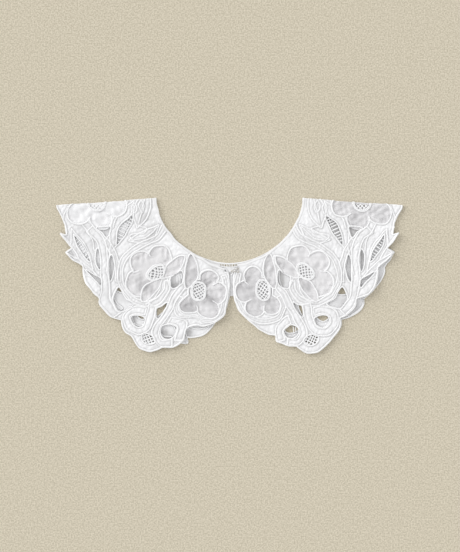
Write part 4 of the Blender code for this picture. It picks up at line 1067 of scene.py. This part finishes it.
def makeBandShell(outer, inner, profile, thickness=0.85):
    # a strip between two lines with its underside level, as (x, y, height) and faces that point outwards
    n, rows = len(profile), len(outer)
    share = np.linspace(0, 1, n)
    grid = outer[:, None, :] + share[None, :, None] * (inner - outer)[:, None, :]
    x, y = grid[..., 0].ravel(), grid[..., 1].ravel()
    i = np.arange(rows - 1)[:, None] * n + np.arange(n - 1)[None, :]
    quads = np.stack([i, i + 1, i + n + 1, i + n], axis=2).reshape(-1, 4)
    side, end, last = np.arange(rows - 1) * n, np.arange(n - 1), (rows - 1) * n
    rim = np.vstack([
        np.column_stack([end, end + 1]), np.column_stack([side + n - 1, side + 2 * n - 1]),
        np.column_stack([last + end + 1, last + end]), np.column_stack([side + n, side])])
    faces = shellFaces({"x": x, "y": y, "quads": quads, "rim": rim})[0]
    a, b, c = (np.column_stack([x, y])[quads[:, k]] for k in range(3))
    turned = ((b - a)[:, 0] * (c - b)[:, 1] - (b - a)[:, 1] * (c - b)[:, 0]).sum() < 0
    heights = np.concatenate([np.tile(profile, rows) - 0.3, np.full(len(x), -thickness)])
    return np.column_stack([np.tile(x, 2), np.tile(y, 2), heights]), [faces[:, ::-1] if turned else faces]


# The back: both halves of the plan in one cloth, lying flat under the fronts
back = {"step": 0.95, "thickness": 0.42, "cut": -98.0, "edges": (-6.0, 9.0), "relief": 0.8,
        "whole": {
            "backRight": (
                "underLeafTip", "betweenStems", "stemSlit", "betweenFlowers", "underShoulderFlower",
                "innerLadder", "outerLadder"),
            "backLeft": (
                "underLeafTip", "betweenStems", "stemSlit", "betweenFlowers", "underShoulderFlower",
                "innerCurl", "innerLadder", "outerLadder", "shoulderFlower")},
        "noCords": ("tipLeaf", "edgeLeaf", "hemLeaf", "outerBarredLeaf", "vein", "fine", "cusp"),
        "lifts": [(-147.5, -50.5, 1.5, 9.0), (-104.0, -32.0, 0.6, 9.0), (-62.0, -134.0, 0.7, 8.0),
                  (107.0, -101.0, 0.5, 8.0), (136.0, -84.0, 0.7, 6.0), (-136.0, -84.0, 0.7, 6.0),
                  (-128.0, -62.0, 0.8, 10.0),
                  (2.0, -84.0, 0.7, 9.0)],
        "shaded": [(49.6, -80.0, 1.7, 5.0), (52.0, -86.0, 0.9, 3.0), (126.0, -31.0, 1.0, 7.0),
                   (132.6, -60.0, 0.7, 9.0), (119.6, -70.0, 0.2, 9.0), (104.0, -32.0, 1.4, 12.0),
                   (124.0, -110.0, 0.45, 8.0), (152.0, -80.0, 0.5, 9.0),
                   (147.5, -50.5, 0.4, 11.0), (112.0, -104.0, 0.45, 6.0), (0.9, -75.6, 2.4, 1.3),
                   (-54.6, -87.0, 1.0, 5.0), (-119.0, -66.0, 0.3, 8.0),
                   (-124.0, -31.0, 0.5, 5.0), (-64.5, -135.0, 1.1, 4.0), (-59.0, -141.0, 1.0, 3.5),
                   (-97.0, -122.0, 1.2, 4.0), (-40.5, -135.0, 1.2, 3.5)]}


def placedLine(copy, line):
    return np.column_stack(nudged(copy, line[:, 0], line[:, 1]))


def makeBack():
    grid = makeGrid((-186.0, -160.0), (186.0, -8.0), back["step"])
    halves = ("backRight", "backLeft")
    free = np.vstack([corneredLine(freeEdge, 0.9)[:-1], [(20.0, -60.0), (60.0, 10.0)]])
    depth = np.full(grid["x"].shape, -3.0)
    for copy in halves:
        depth = np.maximum(depth, depthIn(grid, placedLine(copy, free)))
    left, right = back["edges"]
    join = np.array([(left, -58.0), (left, back["cut"]), (right, back["cut"]), (right, -58.0)])
    depth = np.maximum(depth, depthIn(grid, join))
    neck = np.vstack([backNeckLine(0.96), [(0.0, 60.0)]])
    depth = np.minimum(depth, -depthIn(grid, neck))
    belowFold = -pastFold(np.abs(grid["x"]), grid["y"]) - 2.9
    depth = np.minimum(depth, belowFold)
    padHeight = np.zeros_like(depth)
    for copy in halves:
        for name, hole in holes.items():
            if name not in back["whole"][copy]:
                moved = placedLine(gapCopy(copy, name), hole)
                depth = np.minimum(depth, -depthIn(grid, moved))
        for loop in shapes.values():
            d = depthIn(grid, placedLine(copy, loop))
            padHeight = np.maximum(padHeight, 0.38 * (1 - np.exp(-np.clip(d, 0, None) / 1.1)))
    runs = {copy: backRuns(copy, grid, depth) for copy in halves}
    near = nearLines(grid, [run[0] for copy in halves for run in runs[copy]], 2.6)
    dark = np.exp(-((near - 0.95) / 0.5) ** 2)
    height = back["relief"] * (padHeight - 0.15 * dark) + 0.06 * ripples(grid["x"], grid["y"], 6.0, 51) - 0.42
    height += liftHeight(grid["x"], grid["y"])
    sheet = cutSheet(grid, depth)
    top = height.ravel()[sheet["used"]]
    x, y = np.tile(sheet["x"], 2), np.tile(sheet["y"], 2)
    low = np.maximum(top - back["thickness"], -0.98 + liftHeight(x[:len(top)], y[:len(top)]))
    points = layBack("asDrawn", x, y, np.concatenate([top, low]))
    # painted shade in the colour: the groove beside each cord and the listed shaded spots
    tone = dark * 0.52 + paintedShadeTone(back["shaded"], grid["x"], grid["y"])
    cloth = addPiece("backCloth", points, shellFaces(sheet), cotton,
                     values={"ditchAndPaintedShade": np.tile(tone.ravel()[sheet["used"]], 2)})
    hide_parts("back")
    trims = [makeBackBand()]
    for copy in halves:
        points, faces, along = sweepRuns(runs[copy], 6)
        points[:, 2] += liftHeight(points[:, 0], points[:, 1])
        cords = addPiece("backCords" + copy[4:], layBack("asDrawn", *points.T), faces, satin,
                         values={"along": along}, sharp=0)
        trims.append(cords)
        print(copy, "cords", len(cords.data.polygons))
    print("back", len(cloth.data.polygons))


def gapCopy(copy, name):
    # the gaps of the back lie a little away from those of the front above them
    return "gapsB" + copy[1:] if name in gaps else copy


def liftHeight(x, y):
    # where the back rises towards an opening of the front: height * exp(-(away/reach)^2), in true places
    return sum(h * np.exp(-(np.hypot(x - lx, y - ly) / reach) ** 2) for lx, ly, h, reach in back["lifts"])


def backRuns(copy, grid, depth):
    # the pattern's lines where this half's cloth lies, each gap's cord along its moved edge
    runs = []
    for name, line, closed, width, over, free in cordLines:
        if name in back["noCords"] or name in back["whole"][copy]:
            continue
        flat = evenly(line, 1.25, closed)
        x, y = flat[:, 0], flat[:, 1]
        moved = placedLine(gapCopy(copy, name), flat)
        near = -0.9 if name in holes or name == "edge" else 0.2
        seen = (sample(grid, depth, moved[:, 0], moved[:, 1]) > near) & (pastFold(x, y) < -3.2)
        for cover in over:
            seen &= sample(frontGrid, coverDepths[cover], x, y) < 0.3
        for part, whole in openStretches(moved, seen, closed):
            runs.append((part, np.full(len(part), -0.12), width, 0.32 * min(1.0, width), whole))
    return runs


# The closure: a worked thread loop on the left front, and a wire hook on the right one
closure = {
    "loop": [
        (-0.2, -73.4), (1.0, -73.0), (2.3, -73.6), (3.0, -74.9), (2.5, -76.3), (1.6, -76.9), (0.6, -76.8)],
    "loopHeight": 1.9, "loopRadius": 0.5,
    "hook": [
        (8.1, -71.7), (8.9, -71.6), (9.3, -70.8), (8.6, -70.1), (7.7, -70.2), (6.7, -71.0),
        (4.3, -72.0), (2.4, -72.5), (1.5, -73.2), (2.4, -73.8), (4.3, -73.8), (6.7, -73.6),
        (7.7, -74.4), (8.6, -74.5), (9.3, -73.8), (8.9, -73.0), (8.1, -72.9)],
    "hookHeight": 3.65, "hookRadius": 0.35,
}


def makeWire(name, spots, height, radius, material, node, step=0.3):
    # a round profile carried along a smooth level line
    line = smoothLine(spots, step)
    run = (line, np.full(len(line), height), 2 * radius, radius, False)
    points, faces, along = sweepRuns([run], 12)
    piece = addPiece(name, toMetres(*points.T), faces, material, values={"along": along}, sharp=0)
    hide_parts(node)
    return piece


for copy, label, seed in (("frontRight", "Right", 11), ("frontLeft", "Left", 23)):
    cloth, cords, area = makeFront(copy, label, seed)
    trims = [cords, makeFrontBinding(copy, label), makeThreads(copy, label, layFront, "front", seed + 5)]
    makeSheers(copy, label, layFront, "front", seed + 2)
print("fronts ready")
makeBack()
for copy, label, seed in (("backRight", "Right", 37), ("backLeft", "Left", 43)):
    makeSheers(copy, label, layBack, "back", seed, back["whole"][copy])
    makeThreads(copy, label, layBack, "back", seed + 5, back["whole"][copy])
makeWire("threadLoop", closure["loop"], closure["loopHeight"], closure["loopRadius"], satin, "thread_loop")
makeWire("hookWire", closure["hook"], closure["hookHeight"], closure["hookRadius"], wire, "hook")
print("collar ready")

# Table, light and camera
studio = {
    "floor": (0.722, 0.658, 0.525), "grain": (0.505, 0.455, 0.346),
    "fill": 0.79, "key": 1.72, "keyTurn": 150.0, "keyRise": 25.0, "keySize": 42.0,
    "lens": 100.0, "viewHeight": 0.552, "centre": (0.0005, -0.000245),
}


def makeFloor():
    # one square under the collar, finely grained
    size = 1.6
    points = np.array([(-size, -size), (size, -size), (size, size), (-size, size)])
    mesh = bpy.data.meshes.new("floor")
    mesh.from_pydata([(x, y, -0.0001) for x, y in points], [], [(0, 1, 2, 3)])
    material, tree, shader, coords = startMaterial("paleTable")
    grain = addNode(tree, "ShaderNodeTexNoise", [
        ("Vector", coords.outputs["Object"]), ("Scale", 700.0), ("Detail", 2.0)])
    share = addNode(tree, "ShaderNodeMapRange", [
        ("Value", grain.outputs["Fac"]), ("From Min", 0.34), ("From Max", 0.66)])
    blend = addNode(tree, "ShaderNodeMix", [
        (0, share.outputs["Result"]), (6, (*studio["floor"], 1.0)), (7, (*studio["grain"], 1.0))],
        data_type="RGBA")
    tree.links.new(blend.outputs[2], shader.inputs["Base Color"])
    shader.inputs["Roughness"].default_value = 0.9
    mesh.materials.append(material)
    floor = bpy.data.objects.new("floor", mesh)
    bpy.context.scene.collection.objects.link(floor)


def makeLight():
    # a soft key from the upper left and an even fill from all round
    world = bpy.data.worlds.new("studio")
    world.use_nodes = True
    world.node_tree.nodes["Background"].inputs["Color"].default_value = (1.0, 1.0, 1.0, 1.0)
    world.node_tree.nodes["Background"].inputs["Strength"].default_value = studio["fill"]
    bpy.context.scene.world = world
    lamp = bpy.data.lights.new("key", "SUN")
    lamp.energy = studio["key"]
    lamp.angle = math.radians(studio["keySize"])
    key = bpy.data.objects.new("key", lamp)
    key.rotation_euler = (0.0, math.radians(90 - studio["keyRise"]), math.radians(studio["keyTurn"]))
    bpy.context.scene.collection.objects.link(key)


def makeCamera():
    # straight above; the longer side of the frame takes in viewHeight at distance viewHeight/2 * lens/18
    camera = bpy.data.cameras.new("camera")
    camera.lens = studio["lens"]
    camera.sensor_width = 36.0
    camera.clip_end = 20.0
    eye = bpy.data.objects.new("camera", camera)
    eye.location = (*studio["centre"], studio["viewHeight"] / 2 * studio["lens"] / 18)
    bpy.context.scene.collection.objects.link(eye)
    bpy.context.scene.camera = eye


makeFloor()
makeLight()
makeCamera()
bpy.context.scene.view_settings.view_transform = "Standard"
print("studio ready")
